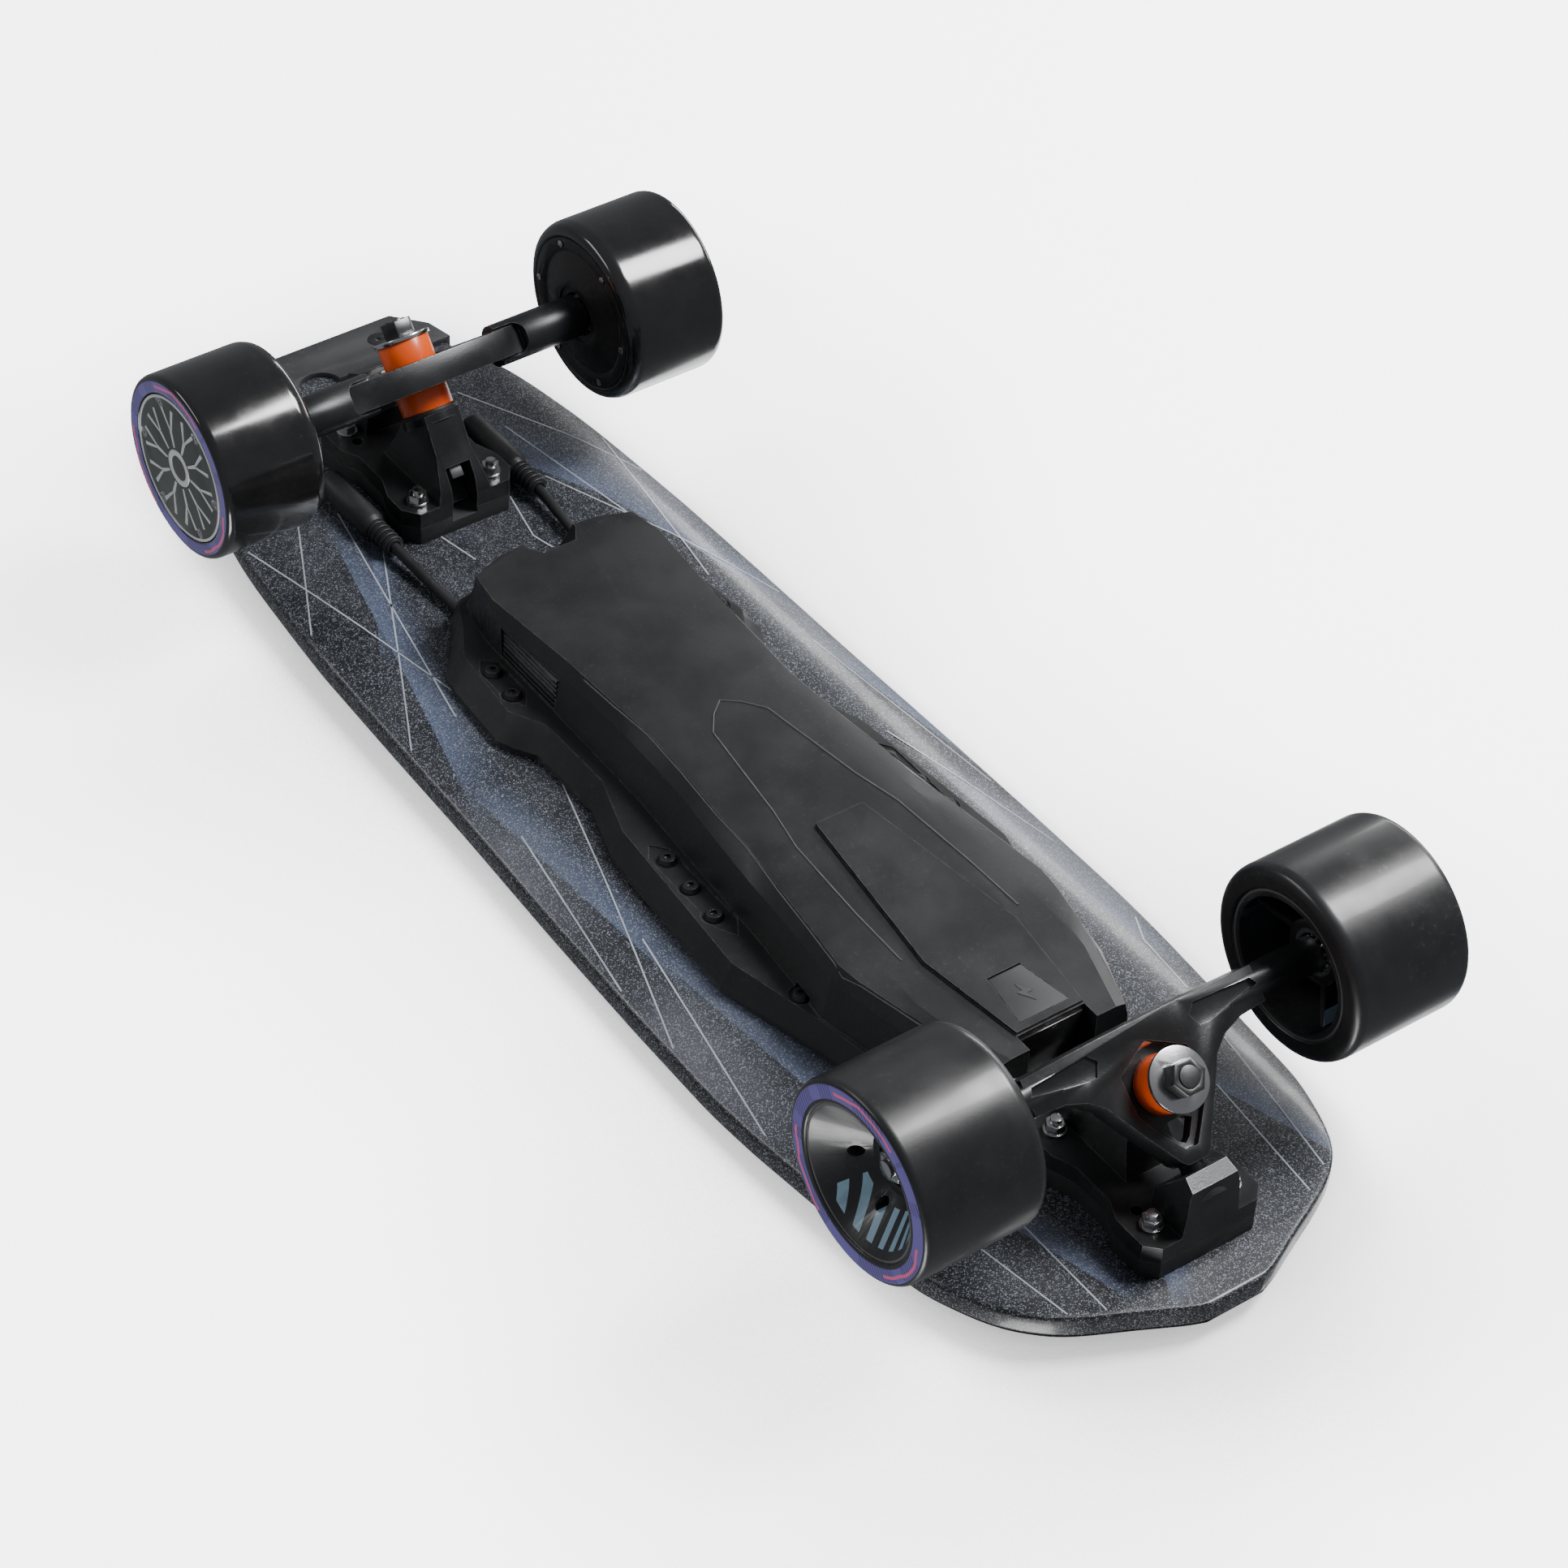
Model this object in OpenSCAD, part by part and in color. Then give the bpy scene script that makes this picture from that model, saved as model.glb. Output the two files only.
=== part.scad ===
// Electric skateboard: concave deck with a kicktail, two reverse-kingpin trucks,
// free-rolling front wheels, rear hub motors and an electronics cover under the deck.
// Millimetres. Stands on its wheels at z = 0, nose towards -Y, +Z up.

/* [Layout] */
// Distance between the front and rear axles
wheelbase = 528; // [440:2:640]
// Deck length ahead of the front axle
nose_overhang = 79; // [70:1:110]
// Deck length behind the rear axle
tail_overhang = 132; // [110:1:180]
// Widest width of the deck
deck_w = 227; // [190:1:272]
// Wheel radius
wheel_r = 45; // [40:0.5:54]

/* [Deck] */
// Thickness of the wooden deck
deck_t = 11; // [9:0.5:14]
// Half-width of the flat middle of the deck
deck_flat = 80; // [66:1:90]
// Rise of the deck's edges over its flat middle
concave_rise = 10; // [4:0.5:13]
// Upward bend of the nose
nose_deg = 4; // [0.5:0.5:8]
// Upward bend of the kicktail
tail_deg = 4; // [1:0.5:8]
// Thickness of the grip tape
grip_t = 0.8; // [0.6:0.1:1.2]
// Wall of the tail guard
guard_t = 3; // [2:0.5:5]
// Length of deck that the tail guard covers
guard_len = 30; // [24:1:40]

/* [Trucks] */
// Angle of the steering axis above the road
steer_deg = 40.6; // [36:0.2:46]
// Distance along the steering axis from the axle to the hanger's bushing seat
seat_s = 19.4; // [18:0.2:22]
// Thickness of the hanger's bushing seat
seat_t = 6; // [5:0.5:7]
// Thickness of the hanger, across the bushing seat
hanger_t = 13.4; // [11:0.2:15]
// Length of one bushing
bushing_l = 14.5; // [13:0.5:16]
// Radius of a bushing
bushing_r = 12.75; // [12:0.25:13.5]
// Radius of a cupped washer
cup_r = 14; // [13.5:0.25:15]
// Thickness of a cupped washer
cup_t = 2; // [1.5:0.25:3]
// Radius of the kingpin
kingpin_r = 4.75; // [4:0.25:5]
// Height from the axle to the baseplate's road-side face
plate_face_h = 57; // [54:0.5:62]
// Thickness of the baseplate
plate_t = 9; // [7:0.5:12]
// Thickness of the riser pad
riser_t = 9.5; // [6:0.5:13]
// Distance across the truck bolts
bolt_x = 41.28; // [41.28]
// Distance along the truck bolts
bolt_y = 63.5; // [63.5]
// Radius of the truck bolts
bolt_r = 2.5; // [2.25:0.05:2.75]
// Radius of the pivot pin at the hanger's tip
pivot_r = 5.5; // [5:0.25:6]
// Radius of the axle boss on the front hanger
boss_r = 8; // [7:0.25:9]
// Radius of the axle tube on the rear hanger
tube_r = 10.25; // [9.75:0.25:11]

/* [Front wheels] */
// Distance from the middle to a front wheel's outer face
front_out = 142; // [132:1:160]
// Width of a front tyre
front_tyre_w = 62; // [54:1:64]
// Radius of the front wheel's core
core_r = 34.5; // [31:0.5:37]
// Radius of the steel axle
axle_r = 4; // [4:0.5:5]
// Distance from the wheel's outer face to the axle nut's end
nut_inset = 16; // [12:1:20]
// Width of a wheel bearing
bearing_w = 7; // [7]
// Outer radius of a wheel bearing
bearing_r = 11; // [11]
// Length of the spacer between two wheel bearings
spacer_l = 10; // [8:1:10]

/* [Hub motors] */
// Distance from the middle to a rear wheel's outer face
rear_out = 138; // [132:1:156]
// Width of a rear wheel
rear_wheel_w = 56; // [52:1:60]
// Thickness of the rear tyre's urethane
sleeve_t = 7; // [5:0.5:8]
// Wall of the rotor can
can_t = 3; // [2.5:0.25:4]
// Radius of the motor's fixed axle
motor_axle_r = 7.5; // [6.5:0.25:8]
// Number of stator teeth
teeth = 12; // [12]
// Number of magnets
magnets = 20; // [20]

/* [Electronics cover] */
// Distance from the front axle to the front of the cover
cover_gap_front = 43; // [40:1:60]
// Distance from the back of the cover to the rear axle
cover_gap_back = 85; // [80:1:110]
// Depth of the cover below the deck
cover_depth = 43; // [42:1:52]
// Widest width of the cover
cover_w = 160; // [156:2:176]
// Wall of the cover
wall = 3; // [2:0.25:4]
// Thickness of the gasket under the cover
gasket_t = 1; // [0.8:0.1:2]
// Radius of the cover screws' heads
cover_head_r = 4.75; // [4:0.25:5.25]
// Radius of one battery cell
cell_r = 9.1; // [9:0.05:9.3]
// Length of one battery cell
cell_l = 65; // [65]
// Diameter of a motor cable
cable_d = 5.2; // [4.5:0.1:6]

/* [Hidden] */
$fn = 64;

run_gap = 0.05;      // radial clearance of a running fit
loose_gap = 0.3;     // clearance of a hand fit
seal_gap = 0.5;      // gap between a turning and a fixed edge
bolt_gap = 0.25;     // radial clearance of a bolt hole
eps = 0.01;

deck_len = nose_overhang + wheelbase + tail_overhang;
nose_y = -(deck_len + guard_t) / 2;             // the origin is midway between the nose and the guard
tail_y = nose_y + deck_len;
front_axle_y = nose_y + nose_overhang;
rear_axle_y = front_axle_y + wheelbase;
axle_z = wheel_r;
deck_z = axle_z + plate_face_h + plate_t + riser_t;
deck_half = deck_w / 2;

// Deck outline: percent of the length from the nose, percent of the half-width.
deck_outline = [
    [0, 10.5], [0.4, 19.5], [0.8, 25], [1.8, 38.5], [2.8, 53.5], [3.5, 62.5], [4.3, 69.5],
    [4.9, 73.5], [5.7, 76.5], [6.9, 81], [8.4, 84.5], [9.9, 88], [11.4, 90.5], [16.5, 93.5],
    [19.5, 95.5], [25, 98.7], [29, 100], [37, 99.5], [46, 98], [56, 95.5], [64, 94.3],
    [73, 92.5], [77, 90.7], [82, 88], [84.5, 86], [88.5, 81], [91.5, 76], [94, 70.5],
    [95.9, 64.5], [98.1, 62.3], [100, 52]
];
concave_steps = 5;
bend_gap = 4;                                   // flat deck left beyond a baseplate
bend_drop = 0.02;                               // step of the deck's layers at a bend
bend_lap = 0.3;                                 // overlap of the deck's layers at a bend

function deck_y(pc) = nose_y + deck_len * pc / 100;
function deck_x(pc) = deck_half * lookup(pc, deck_outline) / 100;
function concave(x) = concave_rise * pow(max(0, (abs(x) - deck_flat) / (deck_half - deck_flat)), 1.4);

// Joins rings of points, ordered from -Y to +Y and each clockwise seen from -Y, into a closed solid.
module loft(rings) {
    m = len(rings[0]);
    last = len(rings) - 1;
    sides = [
        for (i = [0:last - 1], j = [0:m - 1])
            let (k = (j + 1) % m)
            each [[i * m + j, (i + 1) * m + k, i * m + k], [i * m + j, (i + 1) * m + j, (i + 1) * m + k]]
    ];
    front_cap = [[for (j = [0:m - 1]) j]];
    back_cap = [[for (j = [m - 1:-1:0]) last * m + j]];
    polyhedron([for (r = rings) each r], concat(sides, front_cap, back_cap), convexity = 6);
}

// Places of the truck: local +Y points away from the board's middle, +Z to the deck.
module front_truck() { translate([0, front_axle_y, axle_z]) rotate([0, 0, 180]) children(); }
module rear_truck() { translate([0, rear_axle_y, axle_z]) children(); }
module both_trucks() {
    front_truck() children();
    rear_truck() children();
}
// Steering frame: local +Y runs along the steering axis, +Z along the kingpin to the deck.
module steer() { rotate([steer_deg, 0, 0]) children(); }
module both_sides() {
    children();
    mirror([1, 0, 0]) children();
}
// Wheel frame: local +Z points outwards along the axle; side is 1 for +X, -1 for -X.
module wheel_at(axle_y, side) {
    translate([0, axle_y, axle_z]) mirror([side < 0 ? 1 : 0, 0, 0]) rotate([0, 90, 0]) children();
}
module ring(r_out, r_in, z0, z1) {
    translate([0, 0, z0]) difference() {
        cylinder(r = r_out, h = z1 - z0);
        translate([0, 0, -1]) cylinder(r = r_in, h = z1 - z0 + 2);
    }
}
module around(n, r) { for (i = [0:n - 1]) rotate([0, 0, (i + 0.5) * 360 / n]) translate([r, 0, 0]) children(); }

// ---- Truck sizes ----
bolt_out = 44;                                  // outboard bolts, from the axle
plate_in = -29;                                 // inboard end of the baseplate
plate_out = 57;                                 // outboard end of the baseplate
bushing_top = seat_t / 2 + bushing_l;           // bushings end this far from the seat's middle
kingpin_seat = bushing_top + cup_t;             // the tower carries the deck-side washer here
kingpin_head = 46;                              // the head's shoulder, inside the tower
kingpin_head_t = 6;
kingpin_head_r = 6.2;
kingpin_tail = -28;                             // free end of the kingpin
nut_t = 8;
nut_r = 8.2;
tower_w = 29;
tower_top_w = 19;
arch_w = 13.6;
pivot_face = 57;                                // mouth of the pivot cup, along the steering axis
pivot_cup_l = 12;
pivot_cup_r = 9;
hanger_tip = 53.5;
bar_half = 47.5;                                // half-length of the rear hanger's flat bar
bar_flat = 31;
bar_face = -11.5;                               // inboard face of the rear hanger's bar
slot_gap = 1.2;
deck_bolt_head_r = 4.8;
truck_nut_t = 5;
hanger_hole_r = kingpin_r + 2.75;

function steer_y(s, k) = s * cos(steer_deg) - k * sin(steer_deg);
function steer_z(s, k) = s * sin(steer_deg) + k * cos(steer_deg);
function steer_pt(s, k) = [steer_y(s, k), steer_z(s, k)];

plate_outline = [
    [25, plate_in], [31, plate_in + 8], [31, -9], [26.5, 3], [26.5, 24], [31, 34],
    [31, plate_out - 6], [25, plate_out]
];
module half_mirror(points) { polygon(concat(points, [for (i = [len(points) - 1:-1:0]) [-points[i][0], points[i][1]]])); }
module truck_bolt_places() {
    for (x = [-bolt_x / 2, bolt_x / 2], y = [bolt_out - bolt_y, bolt_out]) translate([x, y, 0]) children();
}
// Solid with one outline seen from the side (Y, Z) and another seen along Y (X, Z).
module two_views(side_outline, half_front, y0, y1) {
    intersection() {
        translate([-50, 0, 0]) rotate([90, 0, 90]) linear_extrude(100) polygon(side_outline);
        translate([0, y1, 0]) rotate([90, 0, 0]) linear_extrude(y1 - y0) half_mirror(half_front);
    }
}

module deck_bolt_hole() { cylinder(r = bolt_r + bolt_gap, h = deck_z); }

guard_y = tail_y - guard_len;
guard_screw_x = 45;
guard_screw_back = 12;
guard_screw_r = 2.2;
guard_head_r = 5.5;
guard_arch_r = 11;
nose_bend_y = front_axle_y - plate_out - bend_gap;
tail_bend_y = rear_axle_y + plate_out + bend_gap;

module deck_section(low, high) {
    xs = [deck_flat, for (i = [1:concave_steps + 1]) deck_flat + (deck_half - deck_flat) * i / concave_steps];
    half_mirror(concat(
        [for (x = xs) [x, concave(x) + low]],
        [for (i = [len(xs) - 1:-1:0]) [xs[i], concave(xs[i]) + high]]
    ));
}
// Bent frames of the tail and the nose: Z = 0 is the deck's underside there.
module tail_frame() { translate([0, tail_bend_y, deck_z - bend_drop]) rotate([tail_deg, 0, 0]) children(); }
module nose_frame() { translate([0, nose_bend_y, deck_z - bend_drop]) rotate([-nose_deg, 0, 0]) children(); }
module along_y(y0, y1) { translate([0, y1, 0]) rotate([90, 0, 0]) linear_extrude(y1 - y0) children(); }

// Layer of the deck between two heights over its underside.
module deck_layer(low, high, inset) {
    intersection() {
        union() {
            translate([0, 0, deck_z]) along_y(nose_bend_y, tail_bend_y) deck_section(low, high);
            tail_frame() along_y(-bend_lap, tail_overhang) deck_section(low, high);
            nose_frame() along_y(-nose_overhang, bend_lap) deck_section(low, high);
        }
        translate([0, 0, deck_z - 20]) linear_extrude(80) half_mirror(concat(
            [[deck_x(0) - inset, nose_y + inset]],
            [for (p = deck_outline) if (p[0] > 0.6 && p[0] < 100) [deck_x(p[0]) - inset, deck_y(p[0])]],
            [[deck_x(100) - inset, tail_y - inset]]
        ));
    }
}

module guard_screw_places() {
    tail_frame() both_sides() translate([guard_screw_x, tail_y - tail_bend_y - guard_screw_back, 0]) children();
}

module deck() {
    color("#20242c") difference() {
        deck_layer(0, deck_t, 0);
        both_trucks() truck_bolt_places() {
            deck_bolt_hole();
            translate([0, 0, deck_z - axle_z + deck_t - 2.8])
                cylinder(r1 = bolt_r + bolt_gap, r2 = deck_bolt_head_r + bolt_gap, h = 2.8 + eps);
        }
        guard_screw_places() translate([0, 0, -1]) cylinder(r = guard_screw_r, h = 9);
        cover_screw_places() translate([0, 0, deck_z - 1]) cylinder(r = cover_screw_r, h = 8);
    }
}

module grip_tape() {
    color("#17181a") difference() {
        deck_layer(deck_t, deck_t + grip_t, 1);
        both_trucks() truck_bolt_places()
            translate([0, 0, 80]) cylinder(r = deck_bolt_head_r + bolt_gap, h = 30);
    }
}

// Outline of the tail beyond the guard's front edge.
module tail_outline(grow) {
    half_mirror(concat(
        [[lookup(100 * (guard_y - nose_y) / deck_len, deck_outline) * deck_half / 100 + grow, guard_y]],
        [for (p = deck_outline) if (deck_y(p[0]) > guard_y + 2 && p[0] < 100) [deck_x(p[0]) + grow, deck_y(p[0])]],
        [[deck_x(100) + grow / 2, tail_y + grow]]
    ));
}
module tail_slab(low, high, grow) {
    intersection() {
        tail_frame() translate([-100, 0, low]) cube([200, tail_overhang, high - low]);
        translate([0, 0, deck_z - 20]) linear_extrude(60) tail_outline(grow);
    }
}
module tail_guard() {
    color("#2b2d30") difference() {
        tail_slab(-guard_t, deck_t, guard_t);
        tail_slab(0, deck_t + 5, run_gap);
        guard_screw_places() translate([0, 0, -guard_t - 1]) cylinder(r = guard_screw_r + 0.2, h = 9);
        guard_screw_places() translate([0, 0, -guard_t - 1]) cylinder(r = guard_head_r + 0.2, h = 2.6);
        translate([0, guard_y, deck_z - 20]) cylinder(r = guard_arch_r, h = 40);
    }
}

module tail_guard_screws() {
    color("silver") guard_screw_places() difference() {
        union() {
            translate([0, 0, -guard_t]) cylinder(r = guard_head_r, h = 1.5);
            translate([0, 0, -guard_t + 1]) cylinder(r = guard_screw_r, h = 10);
        }
        translate([0, 0, -guard_t - 1]) cylinder(r = 1.6, h = 2, $fn = 6);
    }
}

// ---- Trucks ----
module riser_pads() {
    color("#1c1d1f") both_trucks() difference() {
        translate([0, 0, plate_face_h + plate_t]) linear_extrude(riser_t) half_mirror(plate_outline);
        truck_bolt_places() deck_bolt_hole();
        translate([-arch_w / 2, plate_in - 1, plate_face_h]) cube([arch_w, 12, plate_t + 3]);
    }
}

module tower() {
    outline = [
        [plate_in, plate_face_h + eps], [plate_in + 1.5, plate_face_h - 7],
        steer_pt(seat_s - cup_r + 1, kingpin_seat), steer_pt(seat_s + cup_r - 1, kingpin_seat),
        [15, 46], [20, plate_face_h + eps]
    ];
    half = [
        [tower_top_w / 2, 10], [tower_top_w / 2, 36], [tower_w / 2, plate_face_h + eps]
    ];
    two_views(outline, half, plate_in, 30);
    steer() translate([0, seat_s, kingpin_seat]) cylinder(r = cup_r, h = 4);
}

module pivot_housing() {
    outline = [
        [36, plate_face_h + eps], steer_pt(pivot_face, 11.5), steer_pt(pivot_face, -9.5),
        [plate_out - 1, 33], [plate_out, 44], [plate_out, plate_face_h + eps]
    ];
    two_views(outline, [[7, 20], [13, 36], [15, plate_face_h + eps]], 30, plate_out + 1);
}

module baseplates() {
    color("#2a2b2d") both_trucks() difference() {
        union() {
            translate([0, 0, plate_face_h]) linear_extrude(plate_t) half_mirror(plate_outline);
            tower();
            pivot_housing();
        }
        truck_bolt_places() deck_bolt_hole();
        for (x = [-bolt_x / 2, bolt_x / 2]) translate([x, bolt_out - 9.5, 0]) deck_bolt_hole();
        steer() {
            translate([0, seat_s, 0]) cylinder(r = kingpin_r + run_gap, h = 70);
            translate([-arch_w / 2, 0, kingpin_head]) cube([arch_w, seat_s + 8, 40]);
            translate([0, pivot_face - 1, 0]) rotate([-90, 0, 0]) cylinder(r = pivot_cup_r, h = pivot_cup_l + 1);
        }
    }
}

module kingpins() {
    color("#77797c") both_trucks() steer() translate([0, seat_s, 0]) {
        translate([0, 0, kingpin_tail]) cylinder(r = kingpin_r, h = kingpin_head - kingpin_tail);
        translate([0, 0, kingpin_head]) cylinder(r = kingpin_head_r, h = kingpin_head_t, $fn = 6);
    }
}

module kingpin_nuts() {
    color("#3a3b3d") both_trucks() steer() translate([0, seat_s, -kingpin_seat - nut_t]) difference() {
        cylinder(r = nut_r, h = nut_t, $fn = 6);
        translate([0, 0, -1]) cylinder(r = kingpin_r, h = nut_t + 2);
    }
}

module cup_washers() {
    color("silver") both_trucks() steer() translate([0, seat_s, 0]) {
        ring(cup_r, kingpin_r, -kingpin_seat, -bushing_top);
        ring(cup_r, kingpin_r, bushing_top, kingpin_seat);
    }
}

module bushings() {
    color("#ff6a20") steer() translate([0, seat_s, 0]) {
        ring(bushing_r, kingpin_r, seat_t / 2, bushing_top);
        ring(bushing_r, kingpin_r, -bushing_top, -seat_t / 2);
    }
}
module front_bushings() { front_truck() bushings(); }
module rear_bushings() { rear_truck() bushings(); }

module pivot_cups() {
    color("#141414") both_trucks() steer() translate([0, pivot_face, 0]) rotate([-90, 0, 0]) difference() {
        cylinder(r = pivot_cup_r, h = pivot_cup_l);
        translate([0, 0, -1]) cylinder(r = pivot_r + run_gap, h = pivot_cup_l - 1);
    }
}

module truck_bolts() {
    top = deck_z - axle_z + deck_t;
    low = plate_face_h - truck_nut_t - 2.5;
    color("silver") both_trucks() truck_bolt_places() difference() {
        union() {
            translate([0, 0, low]) cylinder(r = bolt_r, h = top - low - 1);
            translate([0, 0, top - 2.8]) cylinder(r1 = bolt_r, r2 = deck_bolt_head_r, h = 2.8);
        }
        translate([0, 0, top - 2]) cylinder(r = 1.8, h = 3, $fn = 6);
    }
}

module truck_nuts() {
    color("silver") both_trucks() truck_bolt_places() difference() {
        union() {
            translate([0, 0, plate_face_h - truck_nut_t]) cylinder(r = 4.6, h = truck_nut_t, $fn = 6);
            translate([0, 0, plate_face_h - 1]) cylinder(r = 5.2, h = 1);
        }
        translate([0, 0, plate_face_h - truck_nut_t - 1]) cylinder(r = bolt_r, h = truck_nut_t + 2);
    }
}

// Hexagon that clears the bushing, lengthened into a triangle towards the pivot.
pocket_r = 20;
pocket_outline = [[0, -pocket_r + 0.6], [pocket_r * 0.87, -pocket_r / 2], [pocket_r * 0.87, 7], [13, 15], [3, 28], [0, 28]];
module pocket() { translate([0, seat_s, 0]) half_mirror(pocket_outline); }
module hanger_body(outline) {
    difference() {
        translate([0, 0, -hanger_t / 2]) linear_extrude(hanger_t) half_mirror(outline);
        translate([0, 0, seat_t / 2]) linear_extrude(hanger_t) pocket();
        translate([0, 0, -hanger_t - seat_t / 2]) linear_extrude(hanger_t) pocket();
        translate([0, seat_s, -hanger_t]) cylinder(r = hanger_hole_r, h = 2 * hanger_t);
        translate([0, seat_s, -hanger_t]) linear_extrude(2 * hanger_t)
            half_mirror([[4, 15.2], [7.5, 17.5], [3, 24], [0, 26]]);
    }
}
module pivot_pin() {
    translate([0, hanger_tip - 6, 0]) rotate([-90, 0, 0])
        cylinder(r = pivot_r, h = pivot_face + pivot_cup_l - 3.3 - hanger_tip + 6);
}

hub_out = front_out - nut_inset - 7;
hub_in = hub_out - 2 * bearing_w - spacer_l;
front_hanger_end = hub_in - 1;
arm_end = 60;

front_outline = [
    [0, -9], [20, -9], [arm_end, -boss_r], [arm_end, boss_r], [46, 9], [36, 12.5], [29, 18],
    [24, 26], [7.5, hanger_tip - 2], [5, hanger_tip]
];
arm_pocket = [[24, -1], [28, -5], [57, -3.5], [59, 0], [32, 5], [27, 5]];

module front_hanger() {
    color("#3c3d3f") front_truck() steer() difference() {
        union() {
            hanger_body(front_outline);
            pivot_pin();
            both_sides() translate([arm_end - 16, 0, 0]) rotate([0, 90, 0])
                cylinder(r = boss_r, h = front_hanger_end - arm_end + 16);
        }
        translate([-120, 0, 0]) rotate([0, 90, 0]) cylinder(r = axle_r, h = 240);
        both_sides() translate([0, 0, -hanger_t / 2 - 2.5]) linear_extrude(3.7) polygon(arm_pocket);
    }
}

rear_outline = [
    [0, bar_face], [bar_flat, bar_face], [bar_half, bar_face + 7], [bar_half, 7], [36, 12],
    [29, 18], [24, 26], [7.5, hanger_tip - 2], [5, hanger_tip]
];
motor_in = rear_out - rear_wheel_w;
tube_end = motor_in - seal_gap;

module rear_tube() {
    slot_h = hanger_t / 2 + slot_gap;
    difference() {
        translate([bar_half - 13, 0, 0]) rotate([0, 90, 0]) cylinder(r = tube_r, h = tube_end - bar_half + 13);
        hull() for (k = [-2, 2])
            translate([bar_half + slot_gap - slot_h + 2, -tube_r - 1, k]) rotate([-90, 0, 0])
                cylinder(r = slot_h - 2, h = tube_r - 3, $fn = 32);
        translate([0, -tube_r - 1, -slot_h]) cube([bar_half - 4, tube_r - 3, 2 * slot_h]);
    }
}
module rear_hanger() {
    color("#3c3d3f") rear_truck() steer() difference() {
        union() {
            hanger_body(rear_outline);
            pivot_pin();
            both_sides() rear_tube();
        }
        both_sides() translate([bar_half + 3, 0, 0]) rotate([0, 90, 0]) cylinder(r = motor_axle_r, h = 60);
    }
}

// ---- Front wheels ----
module front_axle() {
    half = front_out - nut_inset + 2;
    color("silver") translate([-half, front_axle_y, axle_z]) rotate([0, 90, 0]) cylinder(r = axle_r, h = 2 * half);
}
module both_front() { for (side = [1, -1]) wheel_at(front_axle_y, side) children(); }
module front_axle_nuts() {
    color("silver") both_front() translate([0, 0, hub_out + 1]) difference() {
        cylinder(r = 7.4, h = 6, $fn = 6);
        translate([0, 0, -1]) cylinder(r = axle_r, h = 8);
    }
}
module front_speed_washers() {
    color("silver") both_front() {
        ring(5.9, axle_r, hub_in - 1, hub_in);
        ring(5.9, axle_r, hub_out, hub_out + 1);
    }
}
module front_spacers() { color("silver") both_front() ring(5.5, axle_r, hub_in + bearing_w, hub_out - bearing_w); }
bearing_starts = [hub_in, hub_out - bearing_w];
race_t = 2;
module front_bearing_inners() {
    color("silver") both_front() for (z = bearing_starts) ring(axle_r + race_t - run_gap, axle_r, z, z + bearing_w);
}
module ball_bearing(r_in, r_out, z, balls) {
    ring(r_out, r_out - race_t, z, z + bearing_w);
    ball_room = r_out - race_t - r_in;
    translate([0, 0, z + bearing_w / 2]) around(balls, r_in + ball_room / 2)
        sphere(r = ball_room / 2 - run_gap, $fn = 24);
}
module front_bearings(side) {
    color("silver") wheel_at(front_axle_y, side)
        for (z = bearing_starts) ball_bearing(axle_r + race_t, bearing_r, z, 7);
}
module front_tyre(side) {
    inner = front_out - front_tyre_w;
    color("#161616") wheel_at(front_axle_y, side) rotate_extrude($fn = 96) polygon([
        [core_r, inner], [wheel_r - 3.6, inner], [wheel_r - 1, inner + 1.6], [wheel_r, inner + 4],
        [wheel_r, front_out - 1.8], [wheel_r - 0.6, front_out - 0.6], [wheel_r - 1.8, front_out],
        [core_r, front_out]
    ]);
}
module front_core(side) {
    inner = front_out - front_tyre_w + 1;
    rim = core_r - 3.5;
    hub_r = bearing_r + 4;
    lip = hub_out + 3.5;
    color("#101010") wheel_at(front_axle_y, side) difference() {
        union() {
            rotate_extrude() polygon([
                [rim, inner], [core_r, inner], [core_r, front_out - 1], [core_r - 1.3, front_out - 1],
                [hub_r, lip], [bearing_r, lip], [bearing_r, hub_out - bearing_w],
                [bearing_r - 2.5, hub_out - bearing_w], [bearing_r - 2.5, hub_in + bearing_w],
                [bearing_r, hub_in + bearing_w], [bearing_r, hub_in], [hub_r, hub_in],
                [hub_r, lip - 6.5], [rim, front_out - 10.5]
            ]);
            for (i = [0:4]) rotate([0, 0, i * 72]) translate([0, 1.5, 0]) rotate([90, 0, 0]) linear_extrude(3)
                polygon([[hub_r - 1, hub_in], [rim + 1, inner + 7], [rim + 1, front_out - 9.5], [hub_r - 1, lip - 5.5]]);
        }
        around(5, hub_r + 5) translate([0, 0, lip - 12]) cylinder(r = 2.6, h = 20);
    }
}
module front_left_tyre() { front_tyre(1); }
module front_left_core() { front_core(1); }
module front_left_bearings() { front_bearings(1); }
module front_right_tyre() { front_tyre(-1); }
module front_right_core() { front_core(-1); }
module front_right_bearings() { front_bearings(-1); }

// ---- Hub motors ----
can_r = wheel_r - sleeve_t;
can_in = can_r - can_t;
cover_at = motor_in + 2.5;              // flat ring of the inner cover
can_start = cover_at + 3;
lid_t = 4;
lid_start = rear_out - lid_t;
lid_r = can_r - 2;
magnet_r = can_in - 2.2;
stator_r = magnet_r - 0.6;
stator_z0 = can_start + 9;
stator_z1 = lid_start - 10;
main_bearing_r = 14;
end_bearing_z = lid_start - bearing_w - 0.5;
screw_r = 1.5;
lid_screw_at = lid_r - 4;
cover_screw_at = can_r - 3;

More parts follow.
